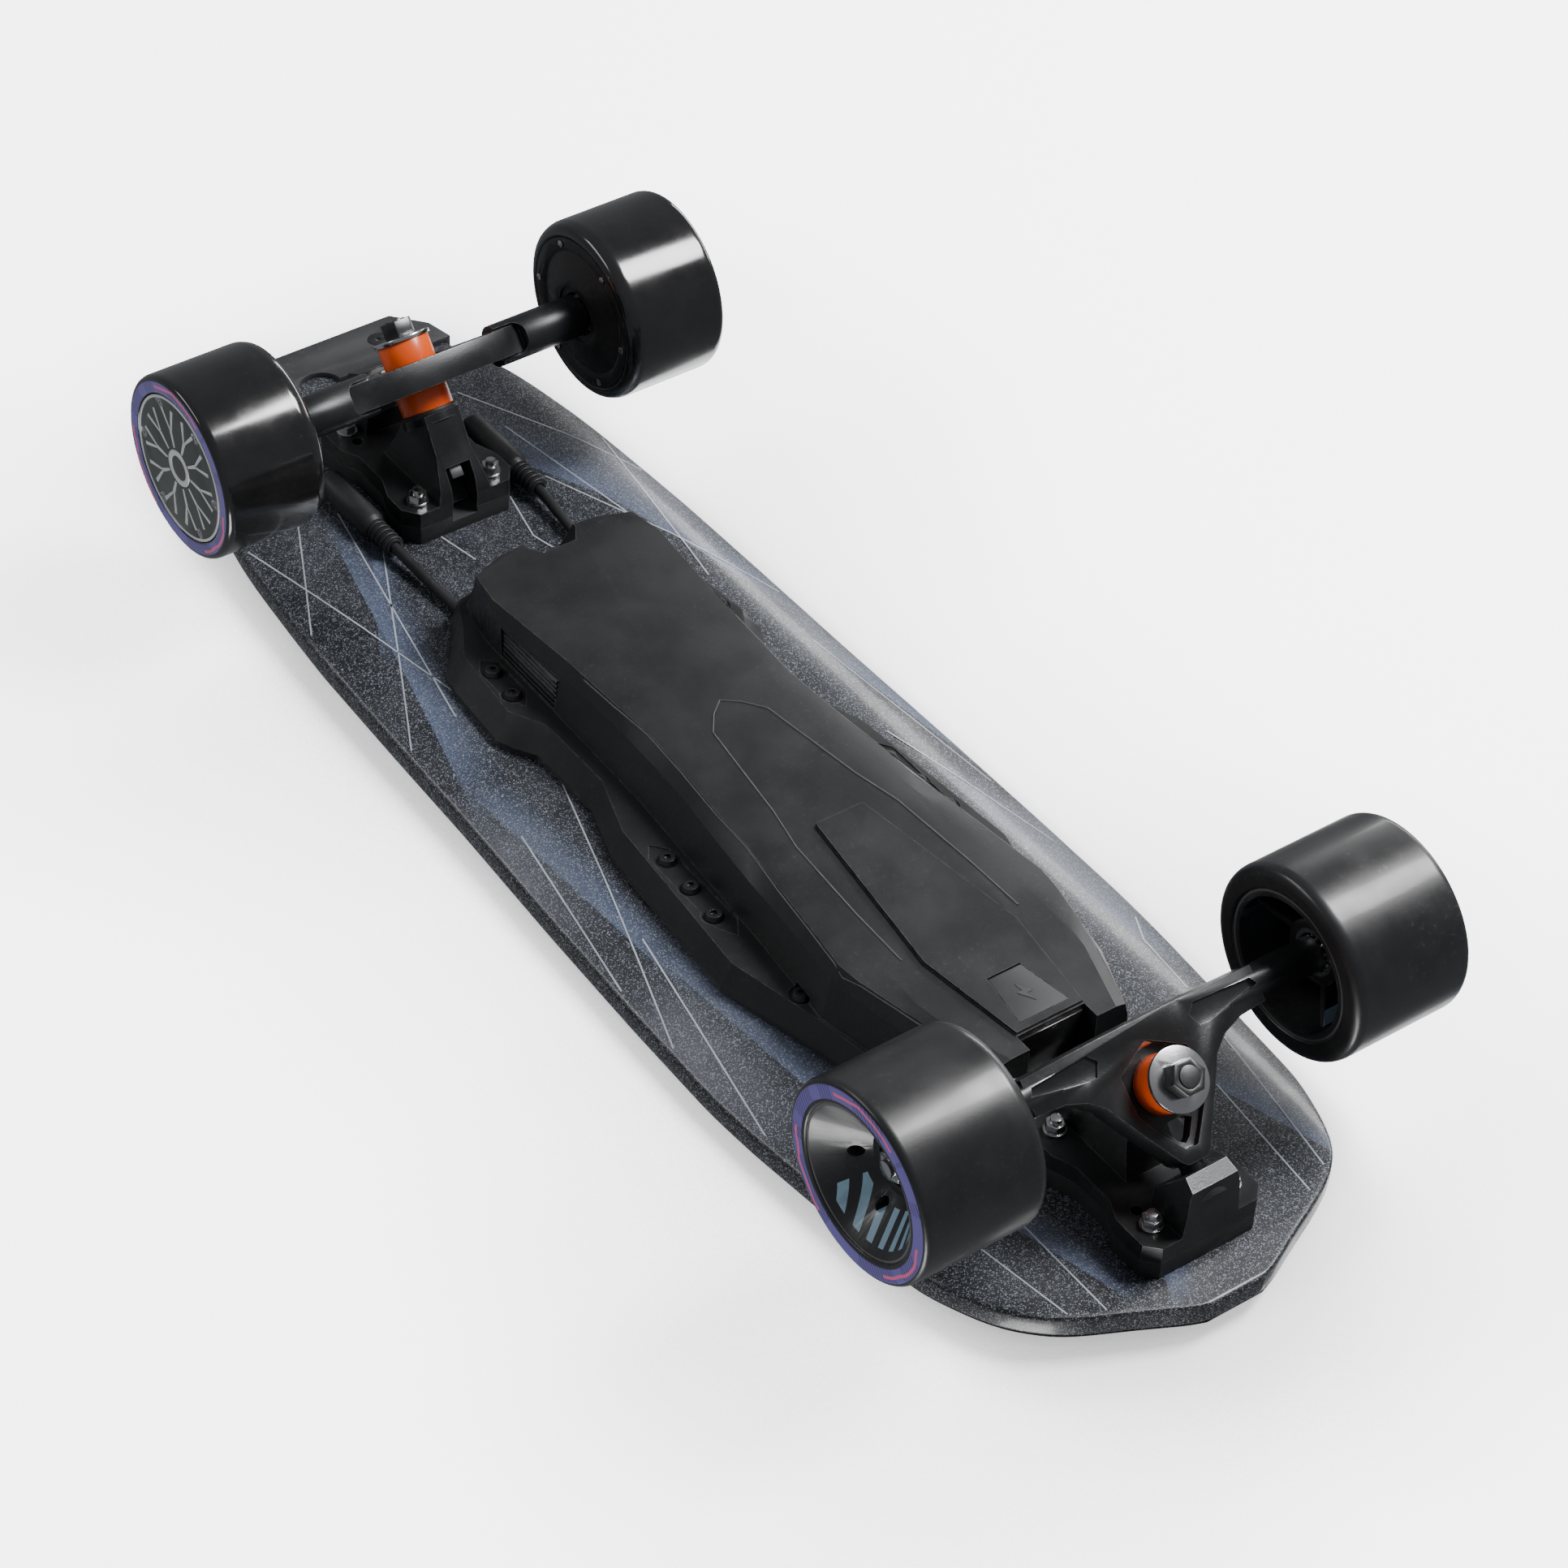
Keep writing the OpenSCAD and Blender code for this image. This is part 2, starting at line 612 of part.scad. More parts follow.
module both_rear() { for (side = [1, -1]) wheel_at(rear_axle_y, side) children(); }
module motor_axles() {
    color("silver") both_rear() difference() {
        union() {
            translate([0, 0, bar_half + 3]) cylinder(r = motor_axle_r, h = end_bearing_z - 1 - bar_half - 3);
            translate([0, 0, end_bearing_z - 2]) cylinder(r = axle_r, h = bearing_w + 2);
            ring(motor_axle_r + race_t - run_gap, motor_axle_r - 1, can_start - 2, can_start - 2 + bearing_w);
            ring(axle_r + race_t - run_gap, axle_r - 1, end_bearing_z, end_bearing_z + bearing_w);
        }
        translate([0, 0, bar_half]) cylinder(r = 3, h = stator_z0 - bar_half);
    }
}
module stators() {
    color("#8b8d90") both_rear() difference() {
        union() {
            ring(motor_axle_r + 7, motor_axle_r, stator_z0, stator_z1);
            around(teeth, 0) translate([motor_axle_r + 6, -2, stator_z0]) cube([stator_r - motor_axle_r - 8, 4, stator_z1 - stator_z0]);
            difference() {
                ring(stator_r, stator_r - 2.5, stator_z0, stator_z1);
                rotate([0, 0, 180 / teeth]) around(teeth, stator_r - 2)
                    translate([-4, -1, stator_z0 - 1]) cube([8, 2, stator_z1 - stator_z0 + 2]);
            }
        }
    }
}
module windings() {
    coil_l = stator_r - motor_axle_r - 11.5;
    color("#b06a35") both_rear() around(teeth, motor_axle_r + 7.5) difference() {
        translate([0, -3.2, stator_z0 - 2]) cube([coil_l, 6.4, stator_z1 - stator_z0 + 4]);
        translate([-1, -2, stator_z0]) cube([coil_l + 2, 4, stator_z1 - stator_z0]);
    }
}
module rear_tyre(side) {
    color("#0d0d0d") wheel_at(rear_axle_y, side) rotate_extrude($fn = 96) polygon([
        [can_r, cover_at], [wheel_r - 4, cover_at], [wheel_r - 1.4, cover_at + 1.6], [wheel_r, cover_at + 5],
        [wheel_r, rear_out - 2], [wheel_r - 0.6, rear_out - 0.6], [wheel_r - 2, rear_out],
        [lid_r + loose_gap, rear_out], [lid_r + loose_gap, lid_start], [can_r, lid_start]
    ]);
}
module rear_rotor(side) {
    color("#55575a") wheel_at(rear_axle_y, side) difference() {
        rotate_extrude($fn = 96) polygon([
            [can_in - 2.5, can_start], [can_r, can_start], [can_r, lid_start], [lid_screw_at - 4, lid_start],
            [lid_screw_at - 4, lid_start - 3.5], [can_in, lid_start - 3.5], [can_in, can_start + 3],
            [can_in - 2.5, can_start + 3]
        ]);
        around(6, lid_screw_at) translate([0, 0, lid_start - 5]) cylinder(r = screw_r, h = 10, $fn = 24);
        around(6, cover_screw_at) translate([0, 0, can_start - 5]) cylinder(r = 1, h = 8, $fn = 24);
    }
}
module rear_magnets(side) {
    color("#a9abad") wheel_at(rear_axle_y, side) for (i = [0:magnets - 1]) rotate([0, 0, i * 360 / magnets])
        rotate_extrude(angle = 360 / magnets - 3) translate([magnet_r, stator_z0])
            square([can_in - magnet_r, stator_z1 - stator_z0]);
}
module rear_lid(side) {
    color("#4a4f4c") wheel_at(rear_axle_y, side) difference() {
        union() {
            translate([0, 0, lid_start]) cylinder(r = lid_r, h = lid_t - 0.5, $fn = 96);
            ring(bearing_r + 3, bearing_r, end_bearing_z, lid_start + 1);
        }
        translate([0, 0, end_bearing_z - 1]) cylinder(r = bearing_r, h = bearing_w + 1);
        around(6, lid_screw_at) translate([0, 0, lid_start - 1]) cylinder(r = screw_r, h = 10, $fn = 24);
        around(6, lid_screw_at) translate([0, 0, rear_out - 2.4]) cylinder(r = 2.9, h = 4);
    }
}
module rear_inner_cover(side) {
    color("#131313") wheel_at(rear_axle_y, side) difference() {
        rotate_extrude($fn = 96) polygon([
            [main_bearing_r + 5, motor_in], [main_bearing_r + 0.5, motor_in], [main_bearing_r + 0.5, motor_in + 1],
            [main_bearing_r - 3, motor_in + 1], [main_bearing_r - 3, can_start - 2], [main_bearing_r, can_start - 2],
            [main_bearing_r, can_start - 2 + bearing_w], [main_bearing_r + 3, can_start - 2 + bearing_w],
            [main_bearing_r + 5, can_start + 1], [can_r - 6, can_start + 1], [can_r - 6, can_start],
            [can_r, can_start], [can_r, cover_at], [can_r - 5, cover_at], [can_r - 7, cover_at + 1.2]
        ]);
        around(6, cover_screw_at) translate([0, 0, cover_at - 1]) cylinder(r = 1, h = 8, $fn = 24);
    }
}
module rear_screws(side) {
    color("silver") wheel_at(rear_axle_y, side) {
        around(6, lid_screw_at) translate([0, 0, rear_out - 2.4]) {
            difference() {
                cylinder(r = 2.7, h = 1.7, $fn = 32);
                translate([0, 0, 0.7]) cylinder(r = 1.3, h = 3, $fn = 6);
            }
            translate([0, 0, -6]) cylinder(r = screw_r, h = 6, $fn = 24);
        }
        around(6, cover_screw_at) {
            translate([0, 0, cover_at - 0.8]) cylinder(r = 1.7, h = 0.8, $fn = 24);
            translate([0, 0, cover_at]) cylinder(r = 1, h = 5, $fn = 24);
        }
    }
}
module rear_bearings(side) {
    color("silver") wheel_at(rear_axle_y, side) {
        ball_bearing(motor_axle_r + race_t, main_bearing_r, can_start - 2, 9);
        ball_bearing(axle_r + race_t, bearing_r, end_bearing_z, 7);
    }
}
module rear_left_tyre() { rear_tyre(1); }
module rear_left_rotor() { rear_rotor(1); }
module rear_left_magnets() { rear_magnets(1); }
module rear_left_lid() { rear_lid(1); }
module rear_left_inner_cover() { rear_inner_cover(1); }
module rear_left_screws() { rear_screws(1); }
module rear_left_bearings() { rear_bearings(1); }
module rear_right_tyre() { rear_tyre(-1); }
module rear_right_rotor() { rear_rotor(-1); }
module rear_right_magnets() { rear_magnets(-1); }
module rear_right_lid() { rear_lid(-1); }
module rear_right_inner_cover() { rear_inner_cover(-1); }
module rear_right_screws() { rear_screws(-1); }
module rear_right_bearings() { rear_bearings(-1); }

// ---- Electronics cover ----
cover_y0 = front_axle_y + cover_gap_front;
cover_y1 = rear_axle_y - cover_gap_back;
cover_len = cover_y1 - cover_y0;
cover_z = deck_z - gasket_t;
top_z = deck_z - cover_depth;                   // road-side panel of the cover
shelf_z = deck_z - 15.5;                        // flange that carries the screws
ridge_z = top_z + 7;
cover_half = cover_w / 2;
pocket_depth = 2.7;                             // recess for the charge flap
spine_t = 3;                                    // raised middle of the panel
spine_z = top_z - spine_t;
cover_screw_r = 2.5;

// Long lines of the cover: percent of its length from the front, percent of its half-width.
lip_line = [
    [0, 50], [2, 58], [9, 74], [18, 82], [33, 100], [56.5, 91], [64.5, 78], [74.5, 79.5], [77, 87.5],
    [79, 92], [88.5, 89], [91.5, 86.5], [98.5, 60], [100, 55]
];
shelf_line = [
    [0, 47.5], [2, 55], [9, 69], [21, 79], [33, 93], [56.5, 83.5], [64.5, 70], [75.5, 70], [80, 82],
    [90.5, 77], [95, 63.5], [98.5, 55], [100, 50]
];
foot_line = [
    [0, 46], [2, 53], [9, 66], [21, 77.5], [35, 71], [59, 62.5], [77, 60.5], [91, 59.5], [95, 56], [100, 47.5]
];
ridge_line = [
    [0, 44], [2, 49], [9, 62.5], [21, 73], [25, 70.5], [32, 67], [38, 65], [45, 61.5], [53, 57], [59, 55.5],
    [66, 54.5], [75, 56], [90, 61], [96.5, 50], [100, 40]
];
panel_line = [
    [0, 41.5], [10, 57.5], [20, 68.5], [27, 64], [34, 60], [41, 55], [47.5, 53.5], [55, 50], [62, 48],
    [68, 50], [77, 52], [90.5, 58], [95, 54.5], [96.5, 34.5], [100, 32]
];
crease_line = [[0, 35], [10.5, 52], [34, 50], [57, 37.5], [93, 20], [100, 18]];
crease_t = 1.2;
stations = [
    0, 2, 5, 9, 12, 15, 18, 21, 25, 29, 33, 35, 38, 41, 45, 47.5, 53, 56.5, 59, 62, 64.5, 68, 71, 74.5,
    75.5, 77, 79, 80, 84, 88.5, 90.5, 91.5, 93, 95, 96.5, 98.5, 100
];
back_from = 96.5;
function back_drop(pc, depth) = depth * max(0, (pc - back_from) / (100 - back_from));
function cover_x(line, pc) = cover_half * lookup(pc, line) / 100;
function cover_sy(pc) = cover_y0 + cover_len * pc / 100;
function mirror_half(half) = concat(half, [for (i = [len(half) - 1:-1:0]) [-half[i][0], half[i][1], half[i][2]]]);
function cover_ring(pc) =
    let (y = cover_sy(pc))
    mirror_half([
        [cover_x(lip_line, pc), y, cover_z],
        [cover_x(lip_line, pc), y, cover_z - 3],
        [cover_x(shelf_line, pc), y, shelf_z + back_drop(pc, 3)],
        [cover_x(foot_line, pc), y, shelf_z - 0.5 + back_drop(pc, 3)],
        [cover_x(ridge_line, pc), y, ridge_z + back_drop(pc, 22)],
        [cover_x(panel_line, pc), y, top_z + back_drop(pc, 27)],
        [cover_x(crease_line, pc), y, top_z - crease_t + back_drop(pc, 27)]
    ]);
cavity_pcs = [for (pc = stations) if (pc >= 3.5 && pc <= 95) pc];
module cavity_prism(line, inset, z0, z1) {
    translate([0, 0, z0]) linear_extrude(z1 - z0)
        half_mirror([for (pc = cavity_pcs) [cover_x(line, pc) - inset, cover_sy(pc)]]);
}

screw_places = [[25, 76], [40, 80], [45, 78], [50, 76], [82, 72], [86.5, 70.5], [6, 57]];
module cover_screw_places() {
    both_sides() for (p = screw_places) translate([cover_half * p[1] / 100, cover_sy(p[0]), 0]) children();
}
side_panels = [[36, 53, 78], [79.5, 89, 71]];   // from, to (percent of length), middle (percent of half-width)
module side_panel(from, to, mid) {
    x = cover_half * mid / 100;
    y0 = cover_sy(from);
    y1 = cover_sy(to);
    polygon([[x, y0], [x + 5, y0 + 9], [x + 5, y1 - 7], [x, y1], [x - 6, y1 - 7], [x - 6, y0 + 9]]);
}

// Front middle: recess for the label, between two blocks.
label_half = 18;
label_depth = 9;
label_t = 1.2;
// Charge flap, hinged at its back edge on the spine.
flap_front_pc = 3.4;
flap_back_pc = 10;
flap_t = 1.8;
flap_half_front = 13;
flap_half_back = 8.5;
barrel_r = 1.25;
flap_y0 = cover_sy(flap_front_pc);
flap_hinge_y = cover_sy(flap_back_pc);
hinge_z = spine_z + barrel_r;
socket_r = 5.5;
socket_y = cover_sy(flap_front_pc) + 11;
socket_bore_r = 2.8;
button_x = 26;
button_z = deck_z - 26;
button_r = 5;
button_stroke = 1.2;
fin_from = 77;
fin_to = 88;
fin_depth = 9;
fin_z0 = ridge_z + 2;
fin_z1 = shelf_z - 1.5;
fin_x = cover_x(foot_line, 84);
notch_half = 14;
cable_x = 38;
cable_z = deck_z - 3.6;

module flap_outline(grow) {
    polygon([
        [flap_half_front + grow, flap_y0 - grow], [flap_half_back + grow, flap_hinge_y],
        [-flap_half_back - grow, flap_hinge_y], [-flap_half_front - grow, flap_y0 - grow]
    ]);
}
spine_outline = [[17.6, 2.4], [24.7, 16], [16, 33], [12.7, 39.5]];   // x, percent of length

module electronics_cover() {
    spine_half = [for (p = spine_outline) [p[0], cover_sy(p[1])]];
    color("#1d1e20") difference() {
        union() {
            loft([for (pc = stations) cover_ring(pc)]);
            translate([0, 0, spine_z]) linear_extrude(spine_t + wall - 0.6) half_mirror(spine_half);
        }
        cavity_prism(ridge_line, wall + 1, ridge_z + 2, cover_z + 1);
        cavity_prism(panel_line, wall + 1.5, top_z + wall - 1, ridge_z + 3);
        cover_screw_places() translate([0, 0, shelf_z - 3]) cylinder(r = cover_screw_r, h = 20);
        cover_screw_places() translate([0, 0, shelf_z - 3]) cylinder(r = cover_head_r + 1, h = 3.4);
        both_sides() for (p = side_panels)
            translate([0, 0, shelf_z - 1.5]) linear_extrude(2) side_panel(p[0], p[1], p[2]);
        translate([-label_half, cover_y0 - 1, spine_z - 1]) cube([2 * label_half, label_depth + 1, cover_depth - 12]);
        translate([0, 0, spine_z - 1]) linear_extrude(pocket_depth + 1) flap_outline(loose_gap);
        translate([-flap_half_back - loose_gap, flap_hinge_y - eps, spine_z - 1])
            cube([2 * (flap_half_back + loose_gap), barrel_r + loose_gap, pocket_depth + 1]);
        translate([0, socket_y, spine_z]) cylinder(r = socket_r, h = 14);
        flap_pin_bore(0.6, flap_half_back + 3);
        translate([button_x, cover_y0 - 1, button_z]) rotate([-90, 0, 0])
            cylinder(r = button_r + run_gap, h = wall + 20);
        both_sides() translate([fin_x - fin_depth, cover_sy(fin_from), fin_z0])
            cube([2 * fin_depth, cover_len * (fin_to - fin_from) / 100, fin_z1 - fin_z0]);
        translate([0, 0, top_z - 5]) linear_extrude(40)
            polygon([[-notch_half, cover_y1 + 1], [-notch_half, cover_sy(96)], [-notch_half + 5, cover_sy(94)],
                [notch_half - 5, cover_sy(94)], [notch_half, cover_sy(96)], [notch_half, cover_y1 + 1]]);
        both_sides() translate([cable_x, cover_y1 - 25, cable_z]) rotate([-90, 0, 0])
            cylinder(r = cable_d / 2 + run_gap, h = 40);
    }
}
module flap_pin_bore(r, half) {
    translate([-half, flap_hinge_y, hinge_z]) rotate([0, 90, 0]) cylinder(r = r, h = 2 * half, $fn = 24);
}

module gasket() {
    ring_pcs = [for (pc = stations) if (pc >= 2 && pc <= 98.5) pc];
    outer = [for (pc = ring_pcs) [cover_x(lip_line, pc) - 1.5, cover_sy(pc)]];
    inner = [for (pc = cavity_pcs) [cover_x(ridge_line, pc) - wall - 1, cover_sy(pc)]];
    color("#303234") difference() {
        translate([0, 0, cover_z]) linear_extrude(gasket_t) half_mirror(outer);
        translate([0, 0, cover_z - 1]) linear_extrude(gasket_t + 2) half_mirror(inner);
        cover_screw_places() translate([0, 0, cover_z - 1]) cylinder(r = cover_screw_r, h = gasket_t + 2);
    }
}

module cover_screws() {
    seat = shelf_z + 0.4;
    color("#26272a") cover_screw_places() difference() {
        union() {
            translate([0, 0, seat - 2.6]) cylinder(r1 = cover_head_r - 1.2, r2 = cover_head_r, h = 2.6);
            translate([0, 0, seat - 0.5]) cylinder(r = cover_screw_r, h = deck_z + 6.5 - seat);
        }
        translate([0, 0, seat - 3]) cylinder(r = 1.7, h = 2, $fn = 6);
    }
}

// Finned aluminium edges of the controller's plate, one in each side window.
fin_count = 6;
module heat_sink() {
    len_y = cover_len * (fin_to - fin_from) / 100 - 2 * loose_gap;
    pitch = (fin_z1 - fin_z0 - 2 * loose_gap) / fin_count;
    color("#6e7174") both_sides() translate([fin_x - fin_depth + loose_gap, cover_sy(fin_from) + loose_gap, fin_z0 + loose_gap]) {
        cube([4, len_y, fin_z1 - fin_z0 - 2 * loose_gap]);
        for (i = [0:fin_count - 1]) translate([0, 0, (i + 0.2) * pitch]) cube([fin_depth - 1, len_y, 0.6 * pitch]);
    }
}
module motor_controller() {
    half = fin_x - fin_depth + loose_gap;
    y0 = cover_sy(fin_from) + loose_gap;
    len_y = cover_len * (fin_to - fin_from) / 100 - 2 * loose_gap;
    z0 = fin_z0 + loose_gap;
    color("#2f5a3a") translate([0, 0, z0]) {
        translate([-half, y0, 0]) cube([2 * half, len_y, 4]);
        translate([-half + 6, y0 + 3, 4]) cube([2 * half - 12, len_y - 6, 1.6]);
        for (x = [-22, -11, 0, 11, 22]) translate([x - 4, y0 + 8, 5.6]) cube([8, 9, 4]);
        for (x = [-18, 0, 18]) translate([x, y0 + 30, 5.6]) cylinder(r = 5, h = 12);
    }
}

cell_pitch = 2 * cell_r + 0.6;
holder_t = 6;
holder_x = 24;
battery_y0 = flap_hinge_y + 6;
battery_y1 = cover_sy(64);
cell_rows = floor((battery_y1 - battery_y0) / cell_pitch);
cell_z = deck_z - 2 - cell_r;
module cell_places() {
    for (i = [0:cell_rows - 1], k = [0:1])
        translate([0, battery_y0 + (i + 0.5) * cell_pitch, cell_z - k * cell_pitch]) children();
}
module battery_cells() {
    color("#3f7fb0") cell_places() rotate([0, 90, 0]) cylinder(r = cell_r, h = cell_l, center = true, $fn = 48);
}
module cell_holders() {
    height = 2 * cell_pitch + 0.4;
    color("#d8d4c8") both_sides() difference() {
        translate([holder_x, battery_y0, deck_z - 1.6 - height]) cube([holder_t, cell_rows * cell_pitch, height]);
        cell_places() rotate([0, 90, 0]) cylinder(r = cell_r + run_gap, h = cell_l + 20, center = true, $fn = 48);
    }
}
board_y0 = battery_y0 + cell_rows * cell_pitch + 4;
board_y1 = cover_sy(75);
board_z = deck_z - 12;
module battery_board() {
    color("#1f6b3a") {
        translate([-30, board_y0, board_z]) cube([60, board_y1 - board_y0, 1.6]);
        for (x = [-24, -12, 0, 12]) translate([x, board_y0 + 8, board_z - 3]) cube([8, 10, 3]);
        for (x = [-25, 25]) translate([x, board_y1 - 5, board_z + 1.6]) cylinder(r = 2.5, h = deck_z - board_z - 1.6);
    }
}
lead_r = 1.8;
module battery_leads() {
    z = board_z - lead_r;
    color("#b02020") both_sides() {
        translate([26, board_y1 - 8, z]) rotate([-90, 0, 0])
            cylinder(r = lead_r, h = cover_sy(fin_from) + 6 - board_y1 + 8, $fn = 24);
        translate([26, cover_sy(fin_from) + 6, fin_z0 + loose_gap + 5.6])
            cylinder(r = lead_r, h = z + lead_r - fin_z0 - loose_gap - 5.6, $fn = 24);
    }
}

button_out = 1.4;
module power_button() {
    color("#c8ccd0") translate([button_x, cover_y0 - button_out, button_z]) rotate([-90, 0, 0])
        cylinder(r = button_r, h = button_out + wall + 4);
}
module power_switch() {
    y = cover_y0 + wall + 4 + button_stroke + 0.1;
    color("#303030") translate([button_x, y, button_z]) rotate([-90, 0, 0]) cylinder(r = button_r, h = 8);
}
module charge_socket() {
    color("#8a8c90") translate([0, socket_y, spine_z + pocket_depth]) difference() {
        cylinder(r = socket_r, h = 11);
        translate([0, 0, -1]) cylinder(r = socket_bore_r, h = 10);
    }
}
module charge_flap() {
    color("#2c2d2f") difference() {
        union() {
            translate([0, 0, spine_z]) linear_extrude(flap_t) flap_outline(0);
            flap_pin_bore(barrel_r, flap_half_back);
        }
        flap_pin_bore(0.6 + run_gap, flap_half_back + 3);
    }
}
module label_plate() {
    color("#0c0c0c") translate([-label_half + 1.2, cover_y0 + label_depth - label_t, spine_z + 4])
        cube([2 * label_half - 2.4, label_t, 24]);
}

// ---- Motor cables and plugs ----
plug_x = 41;
plug_r = 6.75;
plug_len = 48;
plug_z = deck_z - plug_r - 0.3;
relief_len = 17;
// Route of a motor cable: x, distance behind the cover, distance below the deck.
cable_route = [[38, -22, 3.6], [38, 0, 3.6], [38.3, 8, 3.7], [39, 20, 4.2], [40, 36, 5.4], [40.7, 48, 6.6], [41, 56, 7.05]];

module tube_along(points, r, n) {
    last = len(points) - 1;
    loft([
        for (i = [0:last])
            let (
                a = points[max(0, i - 1)], b = points[min(last, i + 1)],
                d = (b - a) / norm(b - a), u = cross([0, 0, 1], d) / norm(cross([0, 0, 1], d)), v = cross(d, u)
            )
            [for (j = [0:n - 1]) points[i] + r * (cos(360 * j / n) * u + sin(360 * j / n) * v)]
    ]);
}
module motor_cables() {
    points = [for (p = cable_route) [p[0], cover_y1 + p[1], deck_z - p[2]]];
    color("#101010") both_sides() tube_along(points, cable_d / 2, 10);
}
module cable_plugs() {
    relief_y = cover_y1 + 54;
    color("#1a1a1a") both_sides() translate([plug_x, 0, plug_z]) rotate([-90, 0, 0]) {
        difference() {
            union() {
                translate([0, 0, relief_y]) cylinder(r = 4.3, h = relief_len);
                for (i = [0:3]) translate([0, 0, relief_y + 2 + 3.4 * i]) cylinder(r = 5, h = 1.7);
                translate([0, 0, relief_y + relief_len]) cylinder(r1 = 5.2, r2 = plug_r, h = 3);
                translate([0, 0, relief_y + relief_len + 3]) cylinder(r = plug_r, h = plug_len - 10);
                translate([0, 0, relief_y + relief_len + plug_len - 7]) cylinder(r1 = plug_r, r2 = plug_r - 2, h = 3);
            }
            translate([0, 0, relief_y - 1]) cylinder(r = cable_d / 2 + 0.2, h = 6);
        }
    }
}

deck();
grip_tape();
tail_guard();
tail_guard_screws();
riser_pads();
baseplates();
kingpins();
kingpin_nuts();
cup_washers();
front_bushings();
rear_bushings();
pivot_cups();
truck_bolts();
truck_nuts();
front_hanger();
front_axle();
front_axle_nuts();
front_speed_washers();
front_spacers();
front_bearing_inners();
front_left_tyre();
front_left_core();
front_left_bearings();
front_right_tyre();
front_right_core();
front_right_bearings();
rear_hanger();
motor_axles();
stators();
windings();
rear_left_tyre();
rear_left_rotor();
rear_left_magnets();
rear_left_lid();
rear_left_inner_cover();
rear_left_screws();
rear_left_bearings();
rear_right_tyre();
rear_right_rotor();
rear_right_magnets();
rear_right_lid();
rear_right_inner_cover();
rear_right_screws();
rear_right_bearings();
electronics_cover();
gasket();
cover_screws();
heat_sink();
motor_controller();
battery_cells();
cell_holders();
battery_board();
battery_leads();
power_button();
power_switch();
charge_socket();
charge_flap();
label_plate();
motor_cables();
cable_plugs();
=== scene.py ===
"""Electric skateboard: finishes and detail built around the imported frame."""

import logging
import math
from dataclasses import dataclass, field
from enum import Enum

import bmesh
import bpy
from mathutils import Matrix, Vector
from mathutils.bvhtree import BVHTree


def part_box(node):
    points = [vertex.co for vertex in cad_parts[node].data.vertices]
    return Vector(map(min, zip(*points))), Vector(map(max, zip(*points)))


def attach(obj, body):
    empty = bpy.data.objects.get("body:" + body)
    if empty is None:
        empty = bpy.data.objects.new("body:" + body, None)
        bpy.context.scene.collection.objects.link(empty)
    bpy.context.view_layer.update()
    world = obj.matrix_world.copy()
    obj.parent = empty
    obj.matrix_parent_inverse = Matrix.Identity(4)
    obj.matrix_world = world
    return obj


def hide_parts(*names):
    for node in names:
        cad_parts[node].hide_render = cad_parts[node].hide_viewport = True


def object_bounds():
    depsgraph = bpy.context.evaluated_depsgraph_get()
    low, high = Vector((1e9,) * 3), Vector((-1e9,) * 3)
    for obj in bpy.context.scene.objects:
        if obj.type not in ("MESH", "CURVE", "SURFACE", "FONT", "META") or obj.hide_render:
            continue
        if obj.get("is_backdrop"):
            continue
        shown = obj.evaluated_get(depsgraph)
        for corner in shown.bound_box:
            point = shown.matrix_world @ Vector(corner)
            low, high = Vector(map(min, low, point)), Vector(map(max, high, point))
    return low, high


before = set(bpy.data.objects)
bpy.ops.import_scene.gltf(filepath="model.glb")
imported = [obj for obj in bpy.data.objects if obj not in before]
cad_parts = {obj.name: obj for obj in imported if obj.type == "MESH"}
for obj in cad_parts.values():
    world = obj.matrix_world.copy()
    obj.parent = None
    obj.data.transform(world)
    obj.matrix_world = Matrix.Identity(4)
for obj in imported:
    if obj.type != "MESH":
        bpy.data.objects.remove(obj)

logging.basicConfig(level=logging.INFO, format="%(message)s")
log = logging.getLogger("skateboard")

MM = 0.001
DOWN = (1.0, 0.0)  # a step that falls from one to zero
SHARP_DEG = 32.0  # edges sharper than this stay crisp
SQUARE = ((-1, -1), (1, -1), (1, 1), (-1, 1))  # signs of a rectangle's corners, in turn
Point2 = tuple[float, float]
Point3 = tuple[float, float, float]
Rgb = tuple[float, float, float]


class Side(Enum):
    """Side of the board that a wheel is on, as the sign of X."""

    LEFT = 1
    RIGHT = -1

    @property
    def word(self) -> str:
        """Returns the word that node names use."""
        return self.name.lower()


# ---------------------------------------------------------------- node trees


